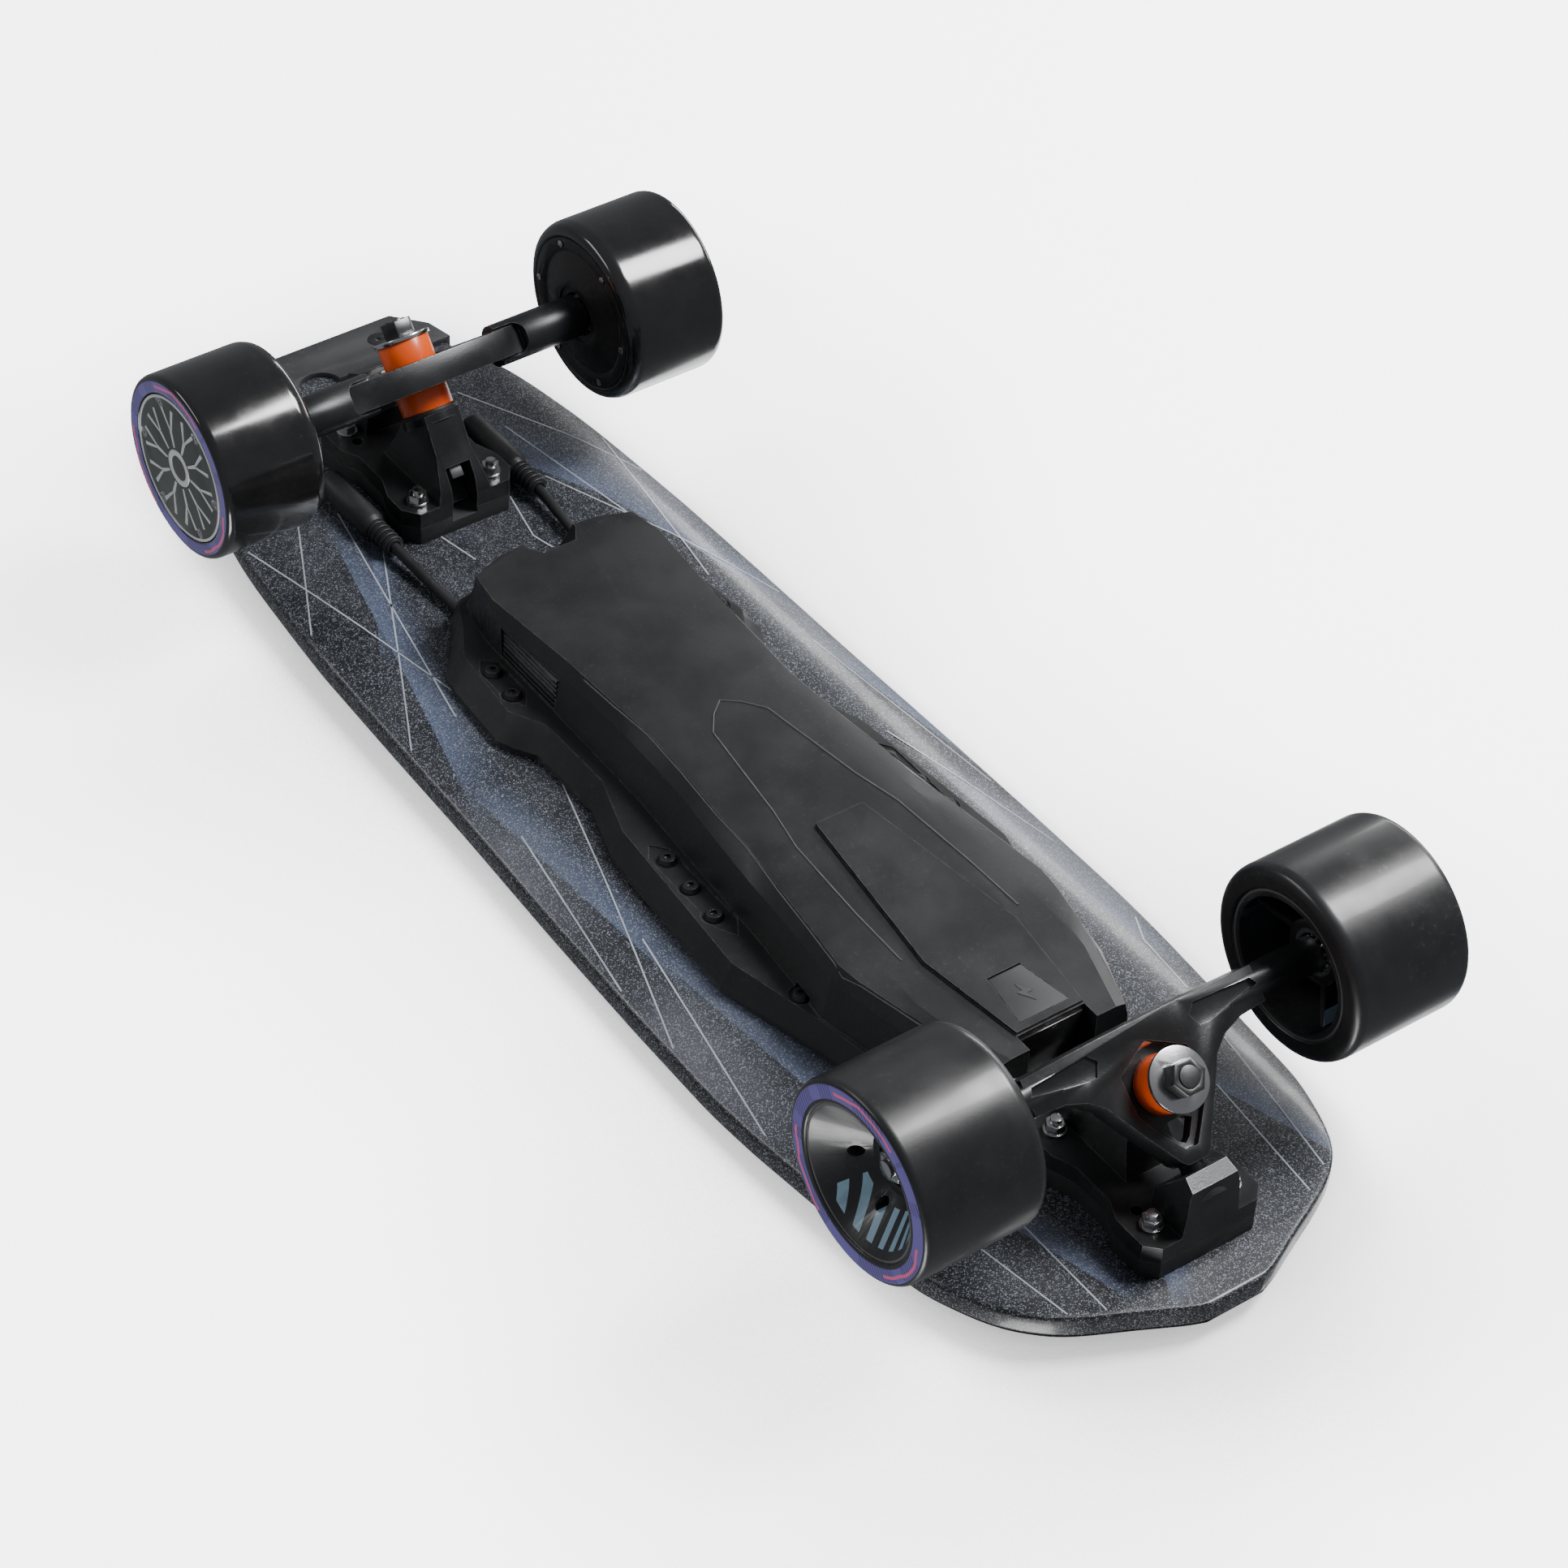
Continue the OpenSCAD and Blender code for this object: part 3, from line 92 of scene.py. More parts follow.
@dataclass
class Tree:
    """Short-hand for building a node tree."""

    tree: bpy.types.NodeTree

    def node(self, kind: str, **settings: object) -> bpy.types.Node:
        """Adds a node.

        Args:
            kind: The node's type name.
            settings: Attributes to set on it.

        Returns:
            The new node.
        """
        made = self.tree.nodes.new(kind)
        for key, value in settings.items():
            setattr(made, key, value)
        return made

    def feed(self, socket: bpy.types.NodeSocket, value: object) -> None:
        """Links a socket to another, or sets its value.

        Args:
            socket: The input.
            value: An output socket or a plain value.
        """
        if isinstance(value, bpy.types.NodeSocket):
            self.tree.links.new(value, socket)
        else:
            socket.default_value = value

    def math(self, operation: str, *values: object, clamp: bool = False) -> bpy.types.NodeSocket:
        """Adds a Math node.

        Args:
            operation: The operation's name.
            values: Inputs, sockets or numbers.
            clamp: Whether the result is held between 0 and 1.

        Returns:
            The result socket.
        """
        made = self.node("ShaderNodeMath", operation=operation, use_clamp=clamp)
        for socket, value in zip(made.inputs, values):
            self.feed(socket, value)
        return made.outputs[0]

    def times(self, *values: object) -> bpy.types.NodeSocket:
        """Multiplies sockets or numbers, from left to right.

        Args:
            values: Two or more factors.

        Returns:
            The product's socket.
        """
        product = values[0]
        for value in values[1:]:
            product = self.math("MULTIPLY", product, value)
        return product

    def hypotenuse(self, first: object, second: object) -> bpy.types.NodeSocket:
        """Returns the length of a flat vector's socket."""
        return self.math("SQRT", self.math("ADD", self.times(first, first), self.times(second, second)))

    def polar(self, axle: Point2) -> tuple[bpy.types.NodeSocket, ...]:
        """Reads a point's place round an axle along X.

        Args:
            axle: Y and Z of the axle, in metres.

        Returns:
            Sockets for X, the offsets along Y and Z, the radius and the angle.
        """
        parts = self.node("ShaderNodeSeparateXYZ")
        self.feed(parts.inputs[0], self.node("ShaderNodeTexCoord").outputs["Object"])
        across = self.math("SUBTRACT", parts.outputs[1], axle[0])
        up = self.math("SUBTRACT", parts.outputs[2], axle[1])
        return parts.outputs[0], across, up, self.hypotenuse(across, up), self.math("ARCTAN2", up, across)

    def mix(self, factor: object, first: object, second: object) -> bpy.types.NodeSocket:
        """Mixes two colours.

        Args:
            factor: Amount of the second.
            first: First colour.
            second: Second colour.

        Returns:
            The result socket.
        """
        made = self.node("ShaderNodeMix", data_type="RGBA")
        self.feed(made.inputs["Factor"], factor)
        for socket, value in zip((made.inputs[6], made.inputs[7]), (first, second)):
            self.feed(socket, (*value, 1.0) if isinstance(value, tuple) and len(value) == 3 else value)
        return made.outputs[2]

    def steps(self, value: object, low: float, high: float, to: Point2 = (0.0, 1.0)) -> bpy.types.NodeSocket:
        """Maps a value smoothly from one span to another.

        Args:
            value: The value.
            low: Start of its span.
            high: End of its span.
            to: The span that it is mapped to.

        Returns:
            The result socket.
        """
        made = self.node("ShaderNodeMapRange", interpolation_type="SMOOTHSTEP")
        for socket, number in zip(made.inputs, (value, low, high, *to)):
            self.feed(socket, number)
        return made.outputs[0]

    def noise(self, at: object, scale: object, detail: float = 2.0, rough: float = 0.5) -> bpy.types.NodeSocket:
        """Adds a noise.

        Args:
            at: Where it is read.
            scale: Cells per metre.
            detail: Number of octaves.
            rough: Strength of the finer octaves.

        Returns:
            The value socket.
        """
        made = self.node("ShaderNodeTexNoise")
        self.feed(made.inputs["Vector"], at)
        self.feed(made.inputs["Scale"], scale)
        self.feed(made.inputs["Detail"], detail)
        self.feed(made.inputs["Roughness"], rough)
        return made.outputs[0]


def shader_group(
    name: str, inputs: dict[str, float], outputs: list[str]
) -> tuple[Tree, bpy.types.Node, bpy.types.Node]:
    """Starts a shader node group with named sockets.

    Args:
        name: The group's name.
        inputs: Names and starting values of its inputs.
        outputs: Names of its outputs.

    Returns:
        The tree, its input node and its output node.
    """
    group = bpy.data.node_groups.new(name, "ShaderNodeTree")
    for label, value in inputs.items():
        group.interface.new_socket(label, in_out="INPUT", socket_type="NodeSocketFloat").default_value = value
    for label in outputs:
        group.interface.new_socket(label, in_out="OUTPUT", socket_type="NodeSocketFloat")
    tree = Tree(group)
    return tree, tree.node("NodeGroupInput"), tree.node("NodeGroupOutput")


def build_grain_group() -> bpy.types.NodeTree:
    """Grain and broad variation of a moulded, cast or painted surface.

    Returns:
        The group, with outputs Grain, Patch and Height.
    """
    tree, given, made = shader_group(
        "surface_grain", {"Scale": 1500.0, "Patch scale": 30.0, "Pits": 0.3}, ["Grain", "Patch", "Height"]
    )
    at = tree.node("ShaderNodeTexCoord").outputs["Object"]
    grain = tree.noise(at, given.outputs["Scale"], 3.0, 0.6)
    patch = tree.noise(at, given.outputs["Patch scale"], 4.0, 0.62)
    pits = tree.steps(tree.noise(at, tree.math("MULTIPLY", given.outputs["Scale"], 0.37), 1.0), 0.58, 0.7)
    height = tree.math("SUBTRACT", grain, tree.math("MULTIPLY", pits, given.outputs["Pits"]))
    for label, value in (("Grain", grain), ("Patch", patch), ("Height", height)):
        tree.feed(made.inputs[label], value)
    return tree.tree


def build_wear_group() -> bpy.types.NodeTree:
    """Mask of pale edges, broken up by noise: rubbed edges, and a painted highlight along edges.

    Returns:
        The group, with output Mask.
    """
    tree, given, made = shader_group("edge_wear", {"Width": 0.0008, "Break scale": 220.0}, ["Mask"])
    bevel = tree.node("ShaderNodeBevel", samples=6)
    tree.feed(bevel.inputs["Radius"], given.outputs["Width"])
    flat = tree.node("ShaderNodeNewGeometry").outputs["Normal"]
    dot = tree.node("ShaderNodeVectorMath", operation="DOT_PRODUCT")
    tree.feed(dot.inputs[0], bevel.outputs[0])
    tree.feed(dot.inputs[1], flat)
    edge = tree.steps(tree.math("SUBTRACT", 1.0, dot.outputs["Value"]), 0.01, 0.12)
    at = tree.node("ShaderNodeTexCoord").outputs["Object"]
    broken = tree.steps(tree.noise(at, given.outputs["Break scale"], 4.0, 0.7), 0.3, 0.62)
    tree.feed(made.inputs["Mask"], tree.math("MULTIPLY", edge, broken, clamp=True))
    return tree.tree


def build_dust_group() -> bpy.types.NodeTree:
    """Mask of fine dust and small marks.

    Returns:
        The group, with output Mask.
    """
    tree, given, made = shader_group("dust_marks", {"Amount": 0.3, "Scale": 420.0}, ["Mask"])
    at = tree.node("ShaderNodeTexCoord").outputs["Object"]
    specks = tree.steps(tree.noise(at, given.outputs["Scale"], 5.0, 0.75), 0.55, 0.75)
    clouds = tree.steps(tree.noise(at, 24.0, 2.0), 0.35, 0.7)
    tree.feed(made.inputs["Mask"], tree.times(specks, clouds, given.outputs["Amount"]))
    return tree.tree


def build_glitter_group() -> bpy.types.NodeTree:
    """Mask of metal flakes in a print or paint.

    Returns:
        The group, with output Mask.
    """
    tree, given, made = shader_group("glitter", {"Scale": 2600.0, "Share": 0.12}, ["Mask"])
    at = tree.node("ShaderNodeTexCoord").outputs["Object"]
    cells = tree.node("ShaderNodeTexVoronoi")
    tree.feed(cells.inputs["Vector"], at)
    tree.feed(cells.inputs["Scale"], given.outputs["Scale"])
    split = tree.node("ShaderNodeSeparateColor")
    tree.feed(split.inputs[0], cells.outputs["Color"])
    chance = tree.math("GREATER_THAN", split.outputs[0], tree.math("SUBTRACT", 1.0, given.outputs["Share"]))
    tree.feed(made.inputs["Mask"], tree.math("MULTIPLY", chance, split.outputs[1]))
    return tree.tree


@dataclass(frozen=True)
class Finish:
    """One grained finish, with pale edges that are partly rubbing and partly a painted edge highlight.

    Attributes:
        name: Material name.
        base: Main colour.
        patch: Colour of the broad patches.
        worn: Colour of the pale edges, rubbed and painted as a highlight.
        rough: Lowest and highest roughness.
        metallic: Metallic.
        wear: Strength of the pale edges, rubbing and painted edge highlight together.
        wear_width: Width of the pale edges, in metres.
        grain: Grain cells per metre.
        bump: Height of the grain, in metres.
        dust: Amount of dust.
        flakes: Share of metal flakes.
        coat: Weight of a clear coat.
        subsurface: Weight of light that passes through.
    """

    name: str
    base: Rgb
    patch: Rgb
    worn: Rgb
    rough: Point2 = (0.4, 0.6)
    metallic: float = 0.0
    wear: float = 0.6
    wear_width: float = 0.0007
    grain: float = 1500.0
    bump: float = 0.00004
    dust: float = 0.15
    flakes: float = 0.0
    coat: float = 0.0
    subsurface: float = 0.0

    def base_colour(self, tree: Tree, patch: bpy.types.NodeSocket) -> bpy.types.NodeSocket:
        """Colour before the pale edges and dust.

        Args:
            tree: The material's tree.
            patch: Broad noise value.

        Returns:
            The colour socket.
        """
        return tree.mix(tree.steps(patch, 0.35, 0.68), self.base, self.patch)

    def group(self, tree: Tree, name: str, **values: float) -> bpy.types.Node:
        """Places a shared group.

        Args:
            tree: The material's tree.
            name: The group's name.
            values: Its inputs, with underscores for spaces.

        Returns:
            The group's node.
        """
        made = tree.node("ShaderNodeGroup", node_tree=bpy.data.node_groups[name])
        for label, value in values.items():
            made.inputs[label.replace("_", " ")].default_value = value
        return made

    def build(self) -> bpy.types.Material:
        """Builds the material.

        Returns:
            The material.
        """
        material = bpy.data.materials.new(self.name)
        material.use_nodes = True
        tree = Tree(material.node_tree)
        shader = material.node_tree.nodes["Principled BSDF"]
        grain = self.group(tree, "surface_grain", Scale=self.grain)
        colour = self.base_colour(tree, grain.outputs["Patch"])
        rough = tree.steps(grain.outputs["Patch"], 0.3, 0.7, self.rough)
        if self.flakes:
            flakes = self.group(tree, "glitter", Share=self.flakes).outputs["Mask"]
            colour = tree.mix(flakes, colour, (0.34, 0.37, 0.43))
        # Pale edges: rubbed edges and a painted edge highlight in one mask.
        if self.wear:
            edge = self.group(tree, "edge_wear", Width=self.wear_width).outputs["Mask"]
            worn = tree.math("MULTIPLY", edge, self.wear)
            colour = tree.mix(worn, colour, self.worn)
            rough = tree.math("ADD", rough, tree.math("MULTIPLY", worn, -0.12), clamp=True)
        if self.dust:
            dust = self.group(tree, "dust_marks", Amount=self.dust).outputs["Mask"]
            colour = tree.mix(dust, colour, (0.33, 0.32, 0.30))
            rough = tree.math("ADD", rough, tree.math("MULTIPLY", dust, 0.35), clamp=True)
        tree.feed(shader.inputs["Base Color"], colour)
        tree.feed(shader.inputs["Roughness"], rough)
        shader.inputs["Metallic"].default_value = self.metallic
        shader.inputs["Coat Weight"].default_value = self.coat
        shader.inputs["Coat Roughness"].default_value = 0.12
        if self.subsurface:
            shader.inputs["Subsurface Weight"].default_value = self.subsurface
            shader.inputs["Subsurface Radius"].default_value = (0.004, 0.0015, 0.0006)
            shader.inputs["Subsurface Scale"].default_value = 1.0
        bump = tree.node("ShaderNodeBump")
        bump.inputs["Strength"].default_value = 0.6
        bump.inputs["Distance"].default_value = self.bump
        tree.feed(bump.inputs["Height"], grain.outputs["Height"])
        tree.feed(shader.inputs["Normal"], bump.outputs[0])
        return material


@dataclass(frozen=True)
class DeckPrint(Finish):
    """Glittering charcoal print with slanting beams, and pale spots of painted sheen near its edges.

    Attributes:
        glows: Place and reach of each pale spot of painted sheen, in metres.
        beams: Ends and width of each beam, in metres; its colour fades to one side.
    """

    glows: tuple[tuple[float, float, float], ...] = (
        (0.104, -0.135, 0.085), (0.108, 0.0, 0.07), (-0.106, -0.13, 0.09), (-0.09, 0.2, 0.07), (-0.1, 0.06, 0.06),
    )
    beams: tuple[tuple[float, float, float, float, float], ...] = (
        (0.052, 0.262, 0.108, 0.02, 0.024), (0.022, 0.262, 0.09, 0.14, 0.016), (-0.012, 0.31, -0.1, 0.13, 0.03),
        (-0.05, 0.27, -0.106, 0.05, 0.022), (-0.09, 0.08, -0.112, -0.07, 0.018), (-0.085, -0.04, -0.1, -0.22, 0.02),
        (0.1, 0.08, 0.09, -0.12, 0.02), (0.092, -0.05, 0.076, -0.25, 0.024), (-0.06, -0.262, -0.086, -0.35, 0.02),
        (0.066, -0.262, 0.04, -0.358, 0.018), (0.0, -0.3, 0.03, -0.366, 0.016), (0.02, 0.33, -0.03, 0.25, 0.02),
    )

    def base_colour(self, tree: Tree, patch: bpy.types.NodeSocket) -> bpy.types.NodeSocket:
        """Colour before the pale edges and dust, with beams, spots of painted sheen and a black edge.

        Args:
            tree: The material's tree.
            patch: Broad noise value.

        Returns:
            The colour socket.
        """
        parts = tree.node("ShaderNodeSeparateXYZ")
        tree.feed(parts.inputs[0], tree.node("ShaderNodeTexCoord").outputs["Object"])
        x, y = parts.outputs[0], parts.outputs[1]
        colour = super().base_colour(tree, patch)
        beam: object = 0.0
        for x0, y0, x1, y1, width in self.beams:
            long = math.hypot(x1 - x0, y1 - y0)
            ax, ay = (x1 - x0) / long, (y1 - y0) / long
            dx, dy = tree.math("SUBTRACT", x, x0), tree.math("SUBTRACT", y, y0)
            along = tree.math("ADD", tree.times(dx, ax), tree.times(dy, ay))
            across = tree.math("SUBTRACT", tree.times(dx, ay), tree.times(dy, ax))
            fade = tree.times(tree.steps(across, 0.0, width, DOWN), tree.steps(across, 0.0, 0.0006))
            ends = tree.times(tree.steps(along, 0.0, long * 0.3), tree.steps(along, long * 0.7, long, DOWN))
            beam = tree.math("MAXIMUM", beam, tree.times(fade, ends))
        colour = tree.mix(tree.times(beam, 0.95), colour, (0.085, 0.108, 0.175))
        # Pale spots near the edges are painted sheen, broken up by the broad noise.
        painted_sheen: object = 0.0
        for gx, gy, reach in self.glows:
            dx = tree.times(tree.math("SUBTRACT", x, gx), 2.4)
            far = tree.hypotenuse(dx, tree.math("SUBTRACT", y, gy))
            painted_sheen = tree.math("MAXIMUM", painted_sheen, tree.steps(far, 0.0, reach, (0.8, 0.0)))
        painted_sheen = tree.times(painted_sheen, tree.steps(patch, 0.2, 0.6, (0.6, 1.0)))
        colour = tree.mix(painted_sheen, colour, (0.115, 0.122, 0.14))
        lean = tree.node("ShaderNodeSeparateXYZ")
        tree.feed(lean.inputs[0], tree.node("ShaderNodeNewGeometry").outputs["Normal"])
        rim = tree.steps(tree.math("ABSOLUTE", lean.outputs[2]), 0.6, 0.9, DOWN)
        return tree.mix(rim, colour, (0.010, 0.010, 0.011))


@dataclass(frozen=True)
class TyreInk(Finish):
    """Urethane with a printed band on its outer face."""

    axle: tuple[float, float] = (0.0, 0.045)
    face: float = 0.14
    band: Point2 = (0.0365, 0.043)

    def base_colour(self, tree: Tree, patch: bpy.types.NodeSocket) -> bpy.types.NodeSocket:
        """Colour before the pale edges and dust, with the band.

        Args:
            tree: The material's tree.
            patch: Broad noise value.

        Returns:
            The colour socket.
        """
        x, across, up, radius, angle = tree.polar(self.axle)
        outer = tree.math("GREATER_THAN", tree.math("ABSOLUTE", x), self.face - 0.0006)
        low, high = self.band
        soft = 0.0002
        inside = tree.times(tree.steps(radius, low, low + soft), tree.steps(radius, high - soft, high, DOWN), outer)
        slant = tree.math("ADD", tree.times(across, 0.8), tree.times(up, 0.6))
        hatch = tree.math("GREATER_THAN", tree.math("SINE", tree.times(slant, 3300.0)), 0.35)
        turns = tree.node("ShaderNodeCombineXYZ")
        tree.feed(turns.inputs[0], tree.math("SINE", angle))
        tree.feed(turns.inputs[1], tree.math("COSINE", angle))
        blocks = tree.noise(turns.outputs[0], 2.6, 1.0)
        hatch = tree.times(hatch, tree.math("GREATER_THAN", blocks, 0.5))
        ring = tree.mix(tree.times(hatch, 0.75), (0.14, 0.115, 0.36), (0.035, 0.03, 0.10))
        arc_radius = tree.math("ADD", low + 0.0012, tree.times(blocks, 0.005))
        arc = tree.math("LESS_THAN", tree.math("ABSOLUTE", tree.math("SUBTRACT", radius, arc_radius)), 0.0007)
        arc = tree.times(arc, tree.math("GREATER_THAN", tree.math("SINE", tree.times(angle, 3.0)), 0.1))
        ring = tree.mix(arc, ring, (0.72, 0.13, 0.26))
        plain = super().base_colour(tree, patch)
        return tree.mix(tree.times(inside, tree.steps(patch, 0.2, 0.45, (0.8, 1.0))), plain, ring)


@dataclass(frozen=True)
class CoreInk(Finish):
    """Black wheel core with short pale blue bars printed on its dish."""

    axle: tuple[float, float] = (0.0, 0.045)

    def base_colour(self, tree: Tree, patch: bpy.types.NodeSocket) -> bpy.types.NodeSocket:
        """Colour before the pale edges and dust, with the bars.

        Args:
            tree: The material's tree.
            patch: Broad noise value.

        Returns:
            The colour socket.
        """
        _, across, up, radius, angle = tree.polar(self.axle)
        slant = tree.math("ADD", tree.times(across, 0.86), tree.times(up, 0.5))
        stripes = tree.math("GREATER_THAN", tree.math("SINE", tree.times(slant, 820.0)), 0.1)
        inside = tree.times(tree.math("GREATER_THAN", radius, 0.0185), tree.math("LESS_THAN", radius, 0.0305))
        half = tree.math("GREATER_THAN", tree.math("SINE", tree.math("SUBTRACT", angle, 0.35)), 0.45)
        faded = tree.times(half, tree.steps(patch, 0.2, 0.5, (0.6, 1.0)))
        bars = tree.times(tree.times(stripes, inside), faded)
        rim = tree.times(tree.steps(radius, 0.0332, 0.0336), 0.55)
        plain = tree.mix(rim, super().base_colour(tree, patch), (0.2, 0.2, 0.21))
        return tree.mix(bars, plain, (0.30, 0.47, 0.60))


class Paints:
    """Every material, by the record's slot name or by its own name."""

    def __init__(self) -> None:
        """Builds the shared groups and all the materials."""
        for build in (build_grain_group, build_wear_group, build_dust_group, build_glitter_group):
            build()
        steel = {"metallic": 1.0, "grain": 2600.0, "bump": 0.000015, "dust": 0.06, "wear": 0.0}
        rubber = {"wear": 0.35, "bump": 0.00005, "dust": 0.2}
        finishes = [
            DeckPrint("deck_print", (0.014, 0.015, 0.018), (0.024, 0.026, 0.032), (0.05, 0.05, 0.055), (0.34, 0.5),
                      flakes=0.22, coat=0.3, wear=0.25, bump=0.00001, dust=0.08),
            Finish("print_line", (0.50, 0.53, 0.57), (0.36, 0.39, 0.44), (0.6, 0.6, 0.6), (0.35, 0.5),
                   wear=0.0, coat=0.4, bump=0.00001, dust=0.1),
            Finish("grip", (0.010, 0.010, 0.011), (0.019, 0.019, 0.020), (0.05, 0.05, 0.05), (0.78, 0.96),
                   grain=1100.0, bump=0.0007, flakes=0.03, wear=0.4, dust=0.3),
            Finish("guard_plastic", (0.028, 0.029, 0.031), (0.036, 0.037, 0.040), (0.10, 0.10, 0.105), (0.5, 0.66),
                   bump=0.00007, dust=0.25),
            Finish("riser_rubber", (0.016, 0.017, 0.018), (0.024, 0.025, 0.026), (0.05, 0.05, 0.05), (0.6, 0.75),
                   **rubber),
            Finish("cast_dark", (0.020, 0.021, 0.022), (0.030, 0.031, 0.033), (0.22, 0.22, 0.23), (0.28, 0.4),
                   metallic=0.4, grain=1100.0, bump=0.00006, wear=0.75, dust=0.12),
            Finish("bright_steel", (0.60, 0.60, 0.61), (0.50, 0.50, 0.51), (0.7, 0.7, 0.7), (0.18, 0.32), **steel),
            Finish("dark_steel", (0.10, 0.10, 0.105), (0.15, 0.15, 0.155), (0.4, 0.4, 0.4), (0.26, 0.42), **steel),
            Finish("bushing_orange", (0.95, 0.115, 0.008), (0.85, 0.085, 0.006), (1.0, 0.22, 0.05), (0.28, 0.42),
                   coat=0.25, wear=0.3, bump=0.00002, dust=0.12, subsurface=0.15),
            Finish("cup_rubber", (0.015, 0.015, 0.016), (0.022, 0.022, 0.023), (0.06, 0.06, 0.06), (0.5, 0.65),
                   **rubber),
            Finish("urethane_black", (0.012, 0.012, 0.013), (0.017, 0.017, 0.018), (0.05, 0.05, 0.05), (0.3, 0.45),
                   coat=0.2, wear=0.2, bump=0.00002),
            Finish("core_plastic", (0.014, 0.014, 0.015), (0.022, 0.022, 0.024), (0.08, 0.08, 0.08), (0.3, 0.45),
                   bump=0.00003),
            Finish("motor_black", (0.018, 0.018, 0.019), (0.027, 0.027, 0.028), (0.16, 0.16, 0.16), (0.3, 0.44),
                   metallic=0.4, bump=0.00004),
            Finish("rotor_steel", (0.36, 0.36, 0.37), (0.30, 0.30, 0.31), (0.6, 0.6, 0.6), (0.25, 0.4), **steel),
            Finish("magnet", (0.42, 0.42, 0.43), (0.36, 0.36, 0.37), (0.6, 0.6, 0.6), (0.2, 0.35), **steel),
            Finish("lid_grey", (0.085, 0.092, 0.089), (0.115, 0.123, 0.119), (0.6, 0.61, 0.61), (0.34, 0.48),
                   metallic=0.5, grain=2200.0, bump=0.00002, wear=0.8),
            Finish("lid_groove", (0.62, 0.64, 0.64), (0.52, 0.54, 0.54), (0.7, 0.7, 0.7), (0.4, 0.5),
                   grain=2200.0, wear=0.2, metallic=0.3),
            Finish("stator_steel", (0.30, 0.30, 0.31), (0.24, 0.24, 0.25), (0.5, 0.5, 0.5), (0.3, 0.45), **steel),
            Finish("copper", (0.72, 0.26, 0.10), (0.58, 0.19, 0.07), (0.9, 0.45, 0.25), (0.22, 0.38),
                   metallic=1.0, wear=0.2),
            # Strong pale edges on the black cover paint the highlight lines along its creases and edges.
            Finish("cover_plastic", (0.012, 0.0125, 0.0135), (0.017, 0.0175, 0.019), (0.16, 0.16, 0.165), (0.36, 0.46),
                   grain=1900.0, bump=0.00005, wear=0.8, wear_width=0.0006, dust=0.12),
            # Pale grey for the beads and the flap mark, which are black plastic and rubber: a painted highlight.
            Finish("cover_trim", (0.075, 0.077, 0.08), (0.055, 0.057, 0.06), (0.2, 0.2, 0.2), (0.3, 0.42),
                   wear=0.0, bump=0.00002),
            Finish("gasket_rubber", (0.012, 0.012, 0.012), (0.018, 0.018, 0.018), (0.04, 0.04, 0.04), (0.6, 0.8),
                   **rubber),
            Finish("screw_black", (0.05, 0.05, 0.053), (0.07, 0.07, 0.074), (0.45, 0.45, 0.45), (0.28, 0.42),
                   metallic=0.9, wear=0.8, wear_width=0.0003, bump=0.00001),
            Finish("fin_aluminium", (0.16, 0.165, 0.17), (0.2, 0.205, 0.21), (0.5, 0.5, 0.5), (0.3, 0.45),
                   metallic=0.9),
            Finish("board_green", (0.010, 0.085, 0.035), (0.014, 0.115, 0.045), (0.3, 0.25, 0.1), (0.35, 0.5),
                   wear=0.3, coat=0.3),
            Finish("cell_wrap", (0.02, 0.15, 0.42), (0.024, 0.17, 0.48), (0.5, 0.5, 0.5), (0.3, 0.4),
                   wear=0.25, coat=0.3),
            Finish("holder_plastic", (0.03, 0.03, 0.031), (0.045, 0.045, 0.046), (0.1, 0.1, 0.1), (0.5, 0.62)),
            Finish("lead_red", (0.48, 0.012, 0.010), (0.40, 0.010, 0.008), (0.6, 0.1, 0.08), (0.35, 0.5), wear=0.2),
            Finish("button_metal", (0.32, 0.32, 0.33), (0.26, 0.26, 0.27), (0.6, 0.6, 0.6), (0.25, 0.38), **steel),
            Finish("switch_plastic", (0.03, 0.03, 0.03), (0.045, 0.045, 0.045), (0.1, 0.1, 0.1), (0.45, 0.6)),
            Finish("socket_metal", (0.45, 0.45, 0.46), (0.38, 0.38, 0.39), (0.6, 0.6, 0.6), (0.22, 0.36), **steel),
            Finish("flap_rubber", (0.030, 0.031, 0.033), (0.040, 0.041, 0.043), (0.12, 0.12, 0.12), (0.5, 0.62),
                   bump=0.00005),
            Finish("label_black", (0.010, 0.010, 0.011), (0.014, 0.014, 0.015), (0.1, 0.1, 0.1), (0.16, 0.28),
                   coat=0.5, bump=0.000008),
            Finish("cable_rubber", (0.014, 0.0145, 0.016), (0.022, 0.023, 0.024), (0.07, 0.07, 0.07), (0.42, 0.56),
                   **rubber),
        ]
        self.made = {finish.name: finish.build() for finish in finishes}

    def add(self, finish: Finish) -> bpy.types.Material:
        """Builds one more finish and keeps it."""
        self.made[finish.name] = finish.build()
        return self.made[finish.name]

    def __getitem__(self, name: str) -> bpy.types.Material:
        """Returns the material of that name."""
        return self.made[name]


# ---------------------------------------------------------------- mesh helpers


def finish_mesh(mesh: bpy.types.Mesh, angle: float = SHARP_DEG, turn: bool = True) -> None:
    """Merges doubles, turns faces outwards and shades smoothly.

    Args:
        mesh: The mesh.
        angle: Edges sharper than this stay sharp, in degrees.
        turn: Whether normals are worked out again.
    """
    work = bmesh.new()
    work.from_mesh(mesh)
    bmesh.ops.remove_doubles(work, verts=work.verts, dist=1e-6)
    if turn:
        bmesh.ops.recalc_face_normals(work, faces=work.faces)
    work.to_mesh(mesh)
    work.free()
    mesh.polygons.foreach_set("use_smooth", [True] * len(mesh.polygons))
    mesh.set_sharp_from_angle(angle=math.radians(angle))


